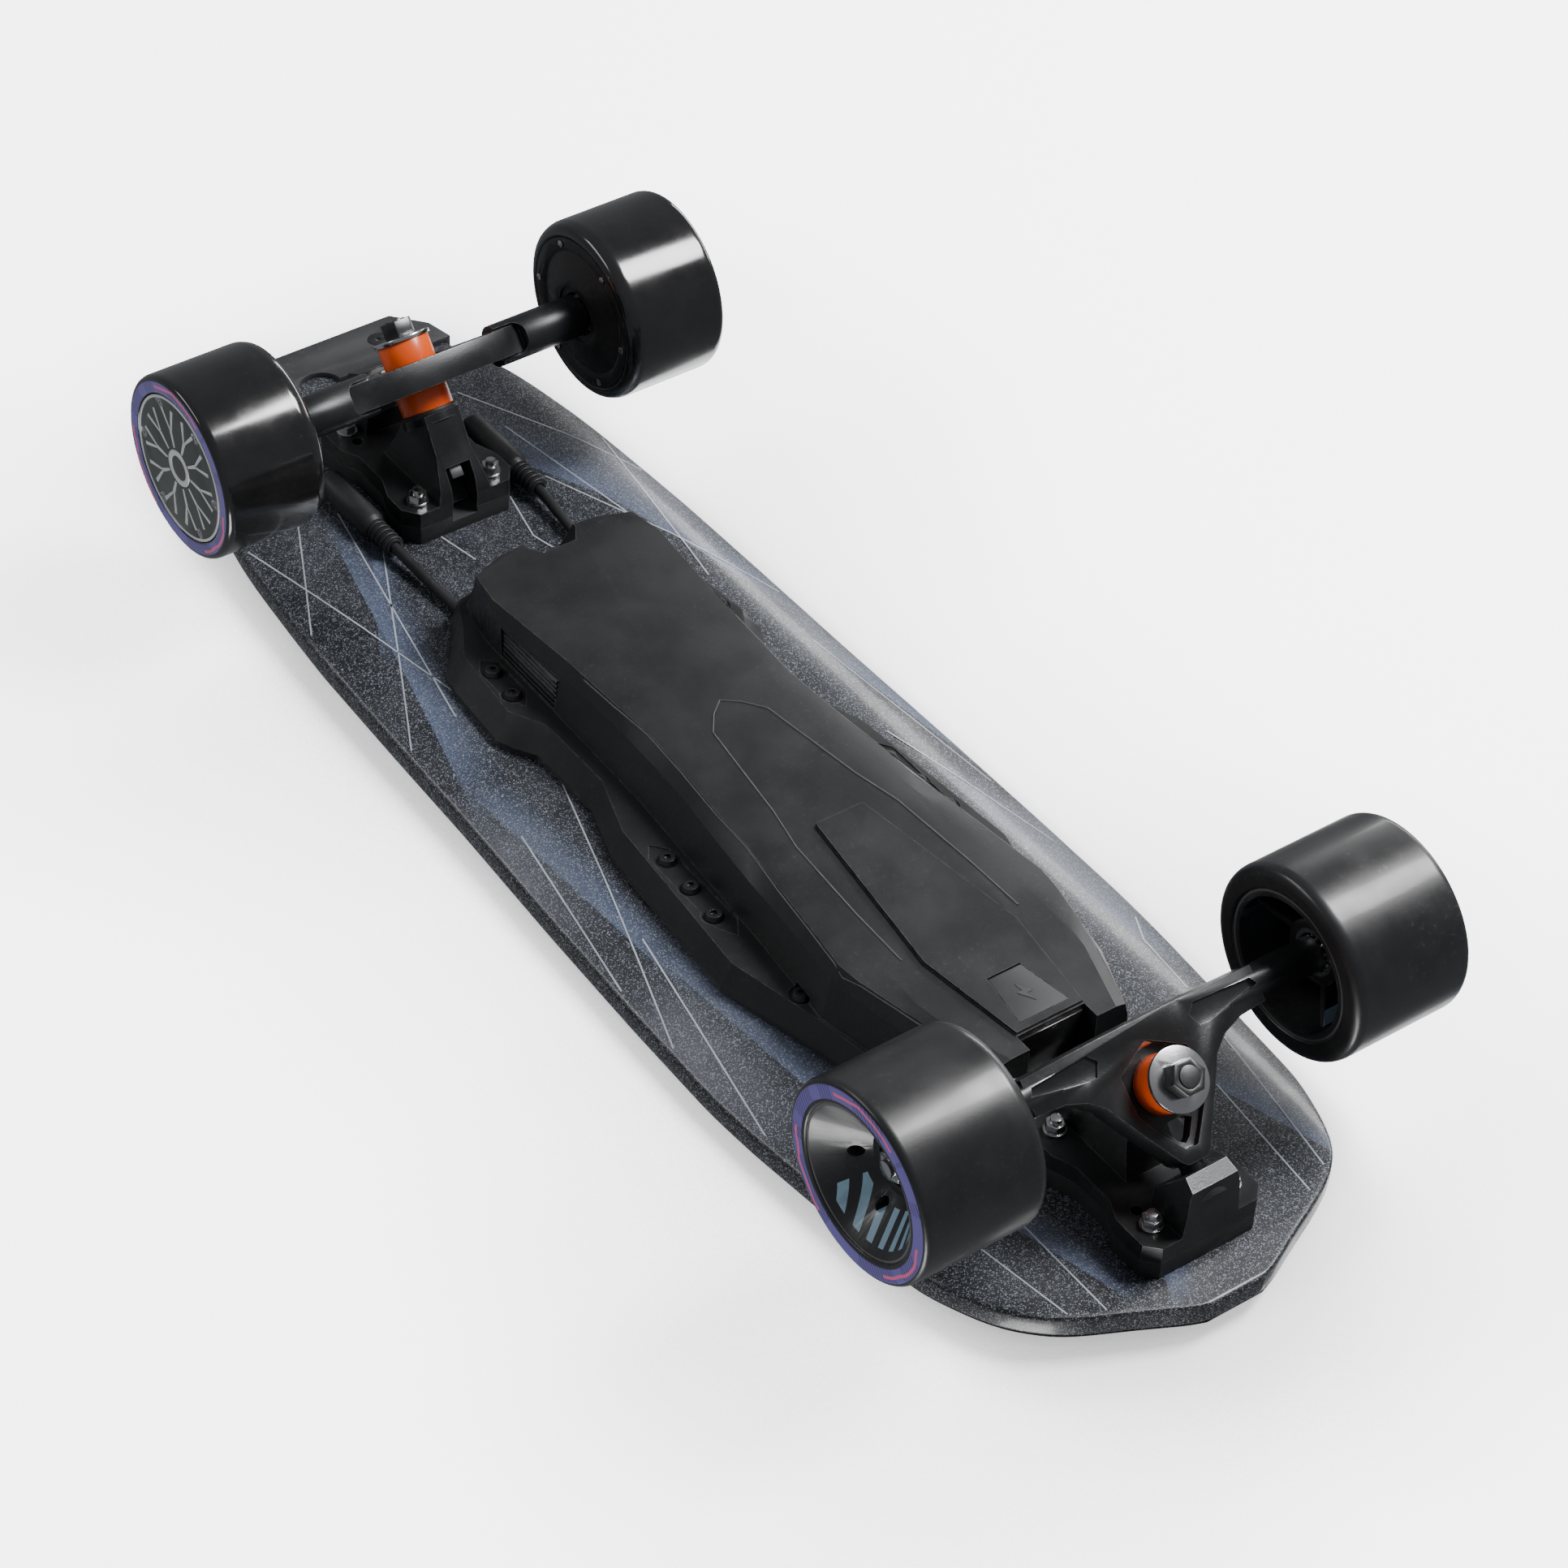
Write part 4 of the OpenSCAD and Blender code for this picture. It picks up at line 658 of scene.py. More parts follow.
def make_object(
    name: str, verts: list, faces: list, material: bpy.types.Material, angle: float = SHARP_DEG
) -> bpy.types.Object:
    """Makes a closed piece from points and faces.

    Args:
        name: Piece name.
        verts: Points in metres.
        faces: Faces.
        material: Its material.
        angle: Sharp edge angle, in degrees.

    Returns:
        The object.
    """
    mesh = bpy.data.meshes.new(name)
    mesh.from_pydata([tuple(v) for v in verts], [], faces)
    mesh.materials.append(material)
    finish_mesh(mesh, angle)
    piece = bpy.data.objects.new(name, mesh)
    bpy.context.scene.collection.objects.link(piece)
    return piece


def bake_modifiers(piece: bpy.types.Object) -> None:
    """Turns a piece with modifiers into a plain mesh."""
    graph = bpy.context.evaluated_depsgraph_get()
    mesh = bpy.data.meshes.new_from_object(piece.evaluated_get(graph))
    piece.modifiers.clear()
    piece.data = mesh


def settle(piece: bpy.types.Object, body: str, slot: str, *nodes: str) -> bpy.types.Object:
    """Rides a piece on a body and hides the CAD nodes that it stands for.

    Args:
        piece: The piece.
        body: CAD body.
        slot: Material slot in the record; not used.
        nodes: CAD nodes that it replaces.

    Returns:
        The piece.
    """
    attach(piece, body)
    if nodes:
        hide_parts(*nodes)
    log.info("%s on %s: %d faces", piece.name, body, len(piece.data.polygons))
    return piece


def refine(node: str, body: str, paints: Paints, bevel: float = 0.4, angle: float = SHARP_DEG) -> bpy.types.Object:
    """Makes a copy of a CAD node with merged faces and softened edges.

    Args:
        node: CAD node.
        body: The body it rides on.
        paints: The materials.
        bevel: Bevel width in millimetres; 0 leaves edges sharp.
        angle: Sharp edge angle, in degrees.

    Returns:
        The piece.
    """
    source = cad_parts[node]
    slot = source.data.materials[0].name.split(".")[0]
    mesh = source.data.copy()
    mesh.name = node + "_fine"
    mesh.materials.clear()
    mesh.materials.append(paints[slot])
    work = bmesh.new()
    work.from_mesh(mesh)
    bmesh.ops.remove_doubles(work, verts=work.verts, dist=2e-6)
    if bevel:
        bmesh.ops.dissolve_limit(work, angle_limit=math.radians(0.6), verts=work.verts, edges=work.edges)
    work.to_mesh(mesh)
    work.free()
    for layer in list(mesh.uv_layers):
        mesh.uv_layers.remove(layer)
    if mesh.has_custom_normals:
        mesh.attributes.remove(mesh.attributes["custom_normal"])
    piece = bpy.data.objects.new(node + "_fine", mesh)
    bpy.context.scene.collection.objects.link(piece)
    if bevel:
        soft = piece.modifiers.new("soft_edges", "BEVEL")
        soft.width = bevel * MM
        soft.segments = 2
        soft.limit_method = "ANGLE"
        soft.angle_limit = math.radians(max(angle, 14.0))
        soft.use_clamp_overlap = True
        bake_modifiers(piece)
    finish_mesh(piece.data, angle, turn=False)
    return settle(piece, body, slot, node)


def filleted(points: list[Point2], radius: float, steps: int = 4) -> list[Point2]:
    """Rounds the corners of a closed outline.

    Args:
        points: Its corners.
        radius: Reach of each rounding along its two edges.
        steps: Points in each corner.

    Returns:
        The rounded outline.
    """
    made: list[Point2] = []
    count = len(points)
    for i, corner in enumerate(points):
        here = Vector(corner)
        before, after = Vector(points[i - 1]) - here, Vector(points[(i + 1) % count]) - here
        first = here + before.normalized() * min(radius, before.length * 0.45)
        last = here + after.normalized() * min(radius, after.length * 0.45)
        for step in range(steps + 1):
            t = step / steps
            point = first * (1 - t) ** 2 + here * 2 * t * (1 - t) + last * t * t
            made.append((point.x, point.y))
    return made


def lathe(name: str, outline: list[Point2], axle: Point2, side: Side, material: bpy.types.Material,
          segments: int = 160, angle: float = SHARP_DEG) -> bpy.types.Object:
    """Turns a closed outline round an axle.

    Args:
        name: Piece name.
        outline: Radius and distance from the board's middle, in millimetres.
        axle: Y and Z of the axle, in metres.
        side: Which side the wheel is on.
        material: Its material.
        segments: Steps round the axle.
        angle: Sharp edge angle, in degrees.

    Returns:
        The object.
    """
    verts, faces = [], []
    count = len(outline)
    for step in range(segments):
        turn = 2 * math.pi * step / segments
        for radius, out in outline:
            y, z = radius * MM * math.cos(turn), radius * MM * math.sin(turn)
            verts.append((side.value * out * MM, axle[0] + y, axle[1] + z))
    for step in range(segments):
        ahead = (step + 1) % segments
        for i in range(count):
            j = (i + 1) % count
            faces.append((step * count + i, step * count + j, ahead * count + j, ahead * count + i))
    return make_object(name, verts, faces, material, angle)


def prism(outline: list[Point2], low: float, high: float) -> tuple[list, list]:
    """Makes a flat closed prism.

    Args:
        outline: Its corners.
        low: Lower height.
        high: Upper height.

    Returns:
        Points and faces.
    """
    count = len(outline)
    verts = [(x, y, z) for z in (low, high) for x, y in outline]
    faces = [tuple(range(count))[::-1], tuple(range(count, 2 * count))]
    faces += [(i, (i + 1) % count, count + (i + 1) % count, count + i) for i in range(count)]
    return verts, faces


# ---------------------------------------------------------------- geometry nodes


def geometry_group(name: str, inputs: dict[str, tuple[str, object]]) -> tuple[Tree, bpy.types.Node, bpy.types.Node]:
    """Starts a geometry node tree with named inputs.

    Args:
        name: The tree's name.
        inputs: Socket type and starting value of each input.

    Returns:
        The tree, its input node and its output node.
    """
    group = bpy.data.node_groups.new(name, "GeometryNodeTree")
    group.interface.new_socket("Geometry", in_out="INPUT", socket_type="NodeSocketGeometry")
    group.interface.new_socket("Geometry", in_out="OUTPUT", socket_type="NodeSocketGeometry")
    for label, (kind, value) in inputs.items():
        made = group.interface.new_socket(label, in_out="INPUT", socket_type=kind)
        if value is not None:
            made.default_value = value
    tree = Tree(group)
    return tree, tree.node("NodeGroupInput"), tree.node("NodeGroupOutput")


def end_tree(tree: Tree, given: bpy.types.Node, made: bpy.types.Node, shape: bpy.types.NodeSocket) -> None:
    """Realizes instances, sets the material and ends the tree.

    Args:
        tree: The tree.
        given: Its input node.
        made: Its output node.
        shape: The geometry so far.
    """
    real = tree.node("GeometryNodeRealizeInstances")
    tree.feed(real.inputs[0], shape)
    paint = tree.node("GeometryNodeSetMaterial")
    tree.feed(paint.inputs["Geometry"], real.outputs[0])
    tree.feed(paint.inputs["Material"], given.outputs["Material"])
    tree.feed(made.inputs[0], paint.outputs[0])


def build_ring_array() -> bpy.types.NodeTree:
    """Copies a shape round the X axis.

    Returns:
        The tree, with inputs Count and Material.
    """
    tree, given, made = geometry_group("ring_array", {
        "Count": ("NodeSocketInt", 6), "Material": ("NodeSocketMaterial", None)})
    line = tree.node("GeometryNodeMeshLine")
    tree.feed(line.inputs["Count"], given.outputs["Count"])
    line.inputs["Offset"].default_value = (0.0, 0.0, 0.0)
    step = tree.math("DIVIDE", 2 * math.pi, given.outputs["Count"])
    turn = tree.math("MULTIPLY", tree.node("GeometryNodeInputIndex").outputs[0], step)
    spin = tree.node("ShaderNodeCombineXYZ")
    tree.feed(spin.inputs[0], turn)
    copies = tree.node("GeometryNodeInstanceOnPoints")
    tree.feed(copies.inputs["Points"], line.outputs[0])
    tree.feed(copies.inputs["Instance"], given.outputs["Geometry"])
    tree.feed(copies.inputs["Rotation"], spin.outputs[0])
    end_tree(tree, given, made, copies.outputs[0])
    return tree.tree


def build_path_bead() -> bpy.types.NodeTree:
    """Runs a round bead along a path.

    Returns:
        The tree, with inputs Radius and Material.
    """
    tree, given, made = geometry_group("path_bead", {
        "Radius": ("NodeSocketFloat", 0.0005), "Material": ("NodeSocketMaterial", None)})
    curve = tree.node("GeometryNodeMeshToCurve")
    tree.feed(curve.inputs[0], given.outputs["Geometry"])
    circle = tree.node("GeometryNodeCurvePrimitiveCircle")
    circle.inputs["Resolution"].default_value = 10
    tree.feed(circle.inputs["Radius"], given.outputs["Radius"])
    bead = tree.node("GeometryNodeCurveToMesh")
    tree.feed(bead.inputs["Curve"], curve.outputs[0])
    tree.feed(bead.inputs["Profile Curve"], circle.outputs[0])
    bead.inputs["Fill Caps"].default_value = True
    end_tree(tree, given, made, bead.outputs[0])
    return tree.tree


def build_path_ribs() -> bpy.types.NodeTree:
    """Sets ribs at even steps along a path.

    Returns:
        The tree, with inputs Count, Radius, Width and Material.
    """
    tree, given, made = geometry_group("path_ribs", {
        "Count": ("NodeSocketInt", 5), "Radius": ("NodeSocketFloat", 0.005),
        "Width": ("NodeSocketFloat", 0.001), "Material": ("NodeSocketMaterial", None)})
    curve = tree.node("GeometryNodeMeshToCurve")
    tree.feed(curve.inputs[0], given.outputs["Geometry"])
    points = tree.node("GeometryNodeCurveToPoints", mode="COUNT")
    tree.feed(points.inputs["Curve"], curve.outputs[0])
    tree.feed(points.inputs["Count"], given.outputs["Count"])
    loop = tree.node("GeometryNodeCurvePrimitiveCircle")
    loop.inputs["Resolution"].default_value = 40
    tree.feed(loop.inputs["Radius"], given.outputs["Radius"])
    section = tree.node("GeometryNodeCurvePrimitiveCircle")
    section.inputs["Resolution"].default_value = 8
    tree.feed(section.inputs["Radius"], given.outputs["Width"])
    rib = tree.node("GeometryNodeCurveToMesh")
    tree.feed(rib.inputs["Curve"], loop.outputs[0])
    tree.feed(rib.inputs["Profile Curve"], section.outputs[0])
    copies = tree.node("GeometryNodeInstanceOnPoints")
    tree.feed(copies.inputs["Points"], points.outputs["Points"])
    tree.feed(copies.inputs["Instance"], rib.outputs[0])
    tree.feed(copies.inputs["Rotation"], points.outputs["Rotation"])
    end_tree(tree, given, made, copies.outputs[0])
    return tree.tree


def grow(
    piece: bpy.types.Object, group: bpy.types.NodeTree, shift: Vector, angle: float = SHARP_DEG, **values: object
) -> bpy.types.Object:
    """Runs a geometry node tree on a piece and keeps the plain mesh.

    Args:
        piece: The starting shape.
        group: The tree.
        shift: Where the result is moved to.
        angle: Sharp edge angle, in degrees.
        values: Inputs by name.

    Returns:
        The piece.
    """
    live = piece.modifiers.new(group.name, "NODES")
    live.node_group = group
    for item in group.interface.items_tree:
        if item.in_out == "INPUT" and item.name in values:
            live[item.identifier] = values[item.name]
    bake_modifiers(piece)
    piece.data.transform(Matrix.Translation(shift))
    finish_mesh(piece.data, angle)
    return piece


def path_object(name: str, points: list[tuple[float, float, float]]) -> bpy.types.Object:
    """Makes a path of edges.

    Args:
        name: Piece name.
        points: Points in metres.

    Returns:
        The object.
    """
    mesh = bpy.data.meshes.new(name)
    mesh.from_pydata(points, [(i, i + 1) for i in range(len(points) - 1)], [])
    piece = bpy.data.objects.new(name, mesh)
    bpy.context.scene.collection.objects.link(piece)
    return piece


# ---------------------------------------------------------------- studio


@dataclass
class Studio:
    """Camera, lights, floor and backdrop."""

    eye: tuple[float, float, float] = (0.944075, -1.238474, -1.299680)
    turn: tuple[float, float, float] = (-2.31299, 0.04894, -2.51466)
    lens: float = 106.65
    half_floor: float = 2.6
    gap: float = 0.0012
    aim: Vector = field(default_factory=lambda: Vector((0.0, 0.0, 0.09)))

    def camera(self) -> None:
        """Sets up the camera."""
        data = bpy.data.cameras.new("camera")
        data.lens = self.lens
        data.sensor_width = 36.0
        data.clip_start = 0.02
        made = bpy.data.objects.new("camera", data)
        bpy.context.scene.collection.objects.link(made)
        made.location = self.eye
        made.rotation_euler = self.turn
        bpy.context.scene.camera = made

    def paper(self, name: str) -> bpy.types.Material:
        """Pale glowing paper that only its front side shows; its glow dims close to the board, a painted contact
        shadow.

        Args:
            name: Material name.

        Returns:
            The material.
        """
        material = bpy.data.materials.new(name)
        material.use_nodes = True
        tree = Tree(material.node_tree)
        out = material.node_tree.nodes["Material Output"]
        shader = material.node_tree.nodes["Principled BSDF"]
        at = tree.node("ShaderNodeTexCoord").outputs["Object"]
        shade = tree.steps(tree.noise(at, 3.0, 3.0), 0.3, 0.7)
        tree.feed(shader.inputs["Base Color"], tree.mix(shade, (0.90, 0.90, 0.90), (0.93, 0.93, 0.93)))
        shader.inputs["Roughness"].default_value = 0.9
        shader.inputs["Specular IOR Level"].default_value = 0.0
        shader.inputs["Emission Color"].default_value = (1.0, 1.0, 1.0, 1.0)
        # Glow falls where ambient occlusion finds the board close by: a painted contact shadow on the paper.
        near = tree.node("ShaderNodeAmbientOcclusion", samples=8)
        near.inputs["Distance"].default_value = 0.2
        tree.feed(shader.inputs["Emission Strength"], tree.steps(near.outputs["AO"], 0.25, 1.0, (0.6, 12.0)))
        clear = tree.node("ShaderNodeBsdfTransparent")
        seen = tree.math("MULTIPLY", tree.node("ShaderNodeLightPath").outputs["Is Camera Ray"],
                         tree.math("SUBTRACT", 1.0, tree.node("ShaderNodeNewGeometry").outputs["Backfacing"]))
        blend = tree.node("ShaderNodeMixShader")
        tree.feed(blend.inputs[0], seen)
        tree.feed(blend.inputs[1], clear.outputs[0])
        tree.feed(blend.inputs[2], shader.outputs[0])
        tree.feed(out.inputs["Surface"], blend.outputs[0])
        return material

    def sheet(self, name: str, height: float, down: bool) -> None:
        """Adds one large sheet of paper.

        Args:
            name: Its name.
            height: Its height.
            down: Whether it faces down.
        """
        reach = self.half_floor
        corners = [(reach * x, reach * y, height) for x, y in SQUARE]
        mesh = bpy.data.meshes.new(name)
        mesh.from_pydata(corners, [], [(3, 2, 1, 0) if down else (0, 1, 2, 3)])
        mesh.materials.append(self.paper(name))
        made = bpy.data.objects.new(name, mesh)
        bpy.context.scene.collection.objects.link(made)
        made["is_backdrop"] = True

    def light(self, name: str, place: Point3, power: float, size: Point2) -> None:
        """Adds a soft rectangular light.

        Args:
            name: Its name.
            place: Where it stands.
            power: Watts.
            size: Width and height in metres.
        """
        data = bpy.data.lights.new(name, "AREA")
        data.shape = "RECTANGLE"
        data.energy = power
        data.size, data.size_y = size
        made = bpy.data.objects.new(name, data)
        bpy.context.scene.collection.objects.link(made)
        made.location = place
        made.rotation_euler = (self.aim - Vector(place)).to_track_quat("-Z", "Y").to_euler()
        made.visible_camera = False

    def build(self) -> None:
        """Builds the whole studio."""
        self.camera()
        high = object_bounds()[1].z
        self.sheet("floor", -self.gap, down=False)
        self.sheet("backdrop", high + self.gap, down=True)
        world = bpy.data.worlds.new("studio")
        world.use_nodes = True
        world.node_tree.nodes["Background"].inputs[0].default_value = (0.92, 0.95, 1.0, 1.0)
        world.node_tree.nodes["Background"].inputs[1].default_value = 0.22
        bpy.context.scene.world = world
        self.light("key_below", (-1.1, -0.5, -1.7), 62.0, (0.7, 0.7))
        self.light("strip_below", (-1.5, 0.5, -0.5), 16.0, (1.6, 0.25))
        self.light("edge_below", (1.3, 0.9, -1.0), 9.0, (1.2, 0.4))
        self.light("key_above", (1.2, -1.2, 1.9), 46.0, (1.2, 1.2))
        self.light("fill_above", (-1.6, 0.6, 1.5), 22.0, (1.6, 1.6))


# ---------------------------------------------------------------- deck


@dataclass
class DeckKit:
    """Deck, grip tape, printed layers, guard and truck hardware on the board.

    Attributes:
        outline: Percent of the length from the nose, percent of the half-width.
        flat: Half-width of the flat middle, in millimetres.
        rise: Rise of the edges, in millimetres.
        bend: Upward bend of nose and tail, in degrees.
        lines: Ends of the printed lines, in millimetres.
    """

    paints: Paints
    outline: tuple[Point2, ...] = (
        (0, 10.5), (0.4, 19.5), (0.8, 25), (1.8, 38.5), (2.8, 53.5), (3.5, 62.5), (4.3, 69.5), (4.9, 73.5),
        (5.7, 76.5), (6.9, 81), (8.4, 84.5), (9.9, 88), (11.4, 90.5), (16.5, 93.5), (19.5, 95.5), (25, 98.7),
        (29, 100), (37, 99.5), (46, 98), (56, 95.5), (64, 94.3), (73, 92.5), (77, 90.7), (82, 88), (84.5, 86),
        (88.5, 81), (91.5, 76), (94, 70.5), (95.9, 64.5), (98.1, 62.3), (100, 52),
    )
    flat: float = 80.0
    rise: float = 10.0
    bend: float = 4.0
    thick: float = 11.0
    tape: float = 0.8
    nose_bend: float = -353.0
    tail_bend: float = 297.0
    lines: tuple[tuple[float, ...], ...] = (
        (64, 256, 105, 175), (96, 255, 69, 108), (46, 248, 78, 95), (33, 232, 113, 74), (15, 214, 9, 184),
        (-31, 215, -24, 184), (-24, 184, -27, 172), (-54, 297, -102, 198), (-59, 262, -72, 175),
        (-98, 238, -78, 115), (-54, 219, -107, 83), (-94, 52, -108, -67), (-83, -20, -107, -114),
        (-107, -173, -99, -188), (-99, -188, -95, -223), (-88, -255, -73, -343), (-66, -277, -59, -351),
        (53, -294, 53, -355), (76, -293, 67, -348), (95, 15, 112, -101), (62, 32, 112, -131), (88, -70, 108, -190),
    )
    box: tuple[Vector, Vector] = field(init=False)

    def __post_init__(self) -> None:
        """Reads the deck's box from the frame."""
        self.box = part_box("deck")

    @property
    def nose(self) -> float:
        """Returns the Y of the nose, in millimetres."""
        return self.box[0].y / MM

    @property
    def tail(self) -> float:
        """Returns the Y of the tail, in millimetres."""
        return self.box[1].y / MM

    def half_width(self, y: float) -> float:
        """Half-width of the deck.

        Args:
            y: Place along the board, in millimetres.

        Returns:
            The half-width in millimetres, smoothed between the outline's points.
        """
        share = 100 * (y - self.nose) / (self.tail - self.nose)
        total, weight = 0.0, 0.0
        reach = min(1.6, 0.25 + share * 0.3, max(0.2, (100 - share) * 0.5))
        for step in range(-4, 5):
            at = min(100.0, max(0.0, share + reach * step / 4))
            part = 5 - abs(step)
            total += part * self.plain_width(at)
            weight += part
        return total / weight

    def plain_width(self, share: float) -> float:
        """Half-width by straight lines between the outline's points.

        Args:
            share: Percent of the length from the nose.

        Returns:
            The half-width in millimetres.
        """
        full = self.box[1].x / MM
        for (a, wa), (b, wb) in zip(self.outline, self.outline[1:]):
            if share <= b:
                return full * (wa + (wb - wa) * (share - a) / (b - a)) / 100
        return full * self.outline[-1][1] / 100

    def under(self, x: float, y: float) -> float:
        """Height of the underside.

        Args:
            x: Place across, in millimetres.
            y: Place along, in millimetres.

        Returns:
            The height in millimetres.
        """
        side = max(0.0, (abs(x) - self.flat) / (self.box[1].x / MM - self.flat))
        past = max(0.0, y - self.tail_bend, self.nose_bend - y)
        return self.box[0].z / MM + self.rise * side ** 1.4 + past * math.tan(math.radians(self.bend))

    def slab(self, name: str, slot: str, low: float, high: float, inset: float, round_r: float, node: str) -> None:
        """Makes one layer of the deck with rounded edges.

        Args:
            name: Piece name.
            slot: Material slot.
            low: Lower face over the underside, in millimetres.
            high: Upper face over the underside.
            inset: Distance inside the outline.
            round_r: Rounding of the edges.
            node: CAD node that it replaces.
        """
        start, end = self.nose + inset, self.tail - inset
        ys = [start + (end - start) * 0.5 * (1 - math.cos(math.pi * i / 220)) for i in range(221)]
        across, arc = 22, 5
        rings: list[list[tuple[float, float, float]]] = []
        for y in ys:
            half = max(4.0, self.half_width(y) - inset)
            tip = max(0.0, round_r - min(y - start, end - y))
            pinch = round_r - math.sqrt(max(0.0, round_r ** 2 - tip ** 2))
            bottom, top = low + pinch, high - pinch
            ring = []
            for i in range(across + 1):
                x = (half - round_r) * (2 * i / across - 1)
                ring.append((x, y, self.under(x, y) + bottom))
            for i in range(1, arc):
                turn = math.pi / 2 * i / arc
                x = half - round_r + round_r * math.sin(turn)
                ring.append((x, y, self.under(x, y) + bottom + round_r * (1 - math.cos(turn))))
            for i in range(arc):
                turn = math.pi / 2 * i / arc
                x = half - round_r + round_r * math.cos(turn)
                ring.append((x, y, self.under(x, y) + top - round_r + round_r * math.sin(turn)))
            for i in range(across + 1):
                x = (half - round_r) * (1 - 2 * i / across)
                ring.append((x, y, self.under(x, y) + top))
            for i in range(1, arc):
                turn = math.pi / 2 * i / arc
                x = -(half - round_r) - round_r * math.sin(turn)
                ring.append((x, y, self.under(x, y) + top - round_r * (1 - math.cos(turn))))
            for i in range(arc):
                turn = math.pi / 2 * i / arc
                x = -(half - round_r) - round_r * math.cos(turn)
                ring.append((x, y, self.under(x, y) + bottom + round_r - round_r * math.sin(turn)))
            rings.append(ring)
        count = len(rings[0])
        verts = [(x * MM, y * MM, z * MM) for ring in rings for x, y, z in ring]
        faces = [
            (i * count + j, (i + 1) * count + j, (i + 1) * count + (j + 1) % count, i * count + (j + 1) % count)
            for i in range(len(rings) - 1) for j in range(count)
        ]
        faces += [tuple(range(count)), tuple(range((len(rings) - 1) * count, len(rings) * count))[::-1]]
        piece = make_object(name, verts, faces, self.paints[slot], 40.0)
        settle(piece, "board", slot, node)

    def print_lines(self) -> None:
        """Lays the thin printed lines on the underside."""
        lift, thick, half = 0.03, 0.06, 0.36
        verts: list[tuple[float, float, float]] = []
        faces: list[tuple[int, ...]] = []
        for x0, y0, x1, y1 in self.lines:
            long = math.hypot(x1 - x0, y1 - y0)
            nx, ny = -(y1 - y0) / long * half, (x1 - x0) / long * half
            steps = max(4, int(long / 5))
            middle = [(x0 + (x1 - x0) * i / steps, y0 + (y1 - y0) * i / steps) for i in range(steps + 1)]
            middle = [(x, y) for x, y in middle if abs(x) < self.half_width(y) - 2.5]
            base = len(verts)
            for x, y in middle:
                for sign, layer in ((-1, lift), (1, lift), (1, lift + thick), (-1, lift + thick)):
                    px, py = x + sign * nx, y + sign * ny
                    verts.append((px * MM, py * MM, (self.under(px, py) - layer) * MM))
            last = base + 4 * (len(middle) - 1)
            faces += [(base, base + 1, base + 2, base + 3), (last + 3, last + 2, last + 1, last)]
            for i in range(len(middle) - 1):
                here = base + 4 * i
                faces += [(here + k, here + 4 + k, here + 4 + (k + 1) % 4, here + (k + 1) % 4) for k in range(4)]
        piece = make_object("deck_lines", verts, faces, self.paints["print_line"], 30.0)
        settle(piece, "board", "deck_print")

    def build(self) -> None:
        """Builds the deck's pieces."""
        self.slab("deck_fine", "deck_print", 0.0, self.thick - 0.01, 0.0, 2.4, "deck")
        self.slab("grip_tape_fine", "grip", self.thick, self.thick + self.tape, 1.0, 0.35, "grip_tape")
        self.print_lines()
        refine("tail_guard", "board", self.paints, 0.5)
        for node, bevel in (
            ("tail_guard_screws", 0.2), ("truck_bolts", 0.15), ("truck_nuts", 0.25), ("riser_pads", 0.5)
        ):
            refine(node, "board", self.paints, bevel)


# ---------------------------------------------------------------- trucks


@dataclass
class TruckKit:
    """Both trucks: castings, bushings, washers and nuts."""

    paints: Paints

    def darken_tower_washers(self, piece: bpy.types.Object) -> None:
        """Gives the washers on the tower side a dark finish.

        Args:
            piece: All four washers.
        """
        low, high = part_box("cup_washers")
        piece.data.materials.append(self.paints["cup_rubber"])
        for face in piece.data.polygons:
            face.material_index = int(face.center.z > (low.z + high.z) / 2)

    def build(self) -> None:
        """Builds the trucks' pieces."""
        refine("baseplates", "board", self.paints, 0.7)
        for node, bevel in (
            ("kingpins", 0.3), ("kingpin_nuts", 0.35), ("cup_washers", 0.3), ("front_bushings", 0.5),
            ("rear_bushings", 0.5), ("pivot_cups", 0.4)
        ):
            piece = refine(node, "board", self.paints, bevel)
            if node == "cup_washers":
                self.darken_tower_washers(piece)
        refine("front_hanger", "front_truck", self.paints, 0.7)
        refine("rear_hanger", "rear_truck", self.paints, 0.7)
        for node, bevel in (("front_axle", 0.3), ("front_axle_nuts", 0.35), ("front_speed_washers", 0.15)):
            refine(node, "front_truck", self.paints, bevel)
        refine("motor_axles", "rear_truck", self.paints, 0.3)


# ---------------------------------------------------------------- wheels


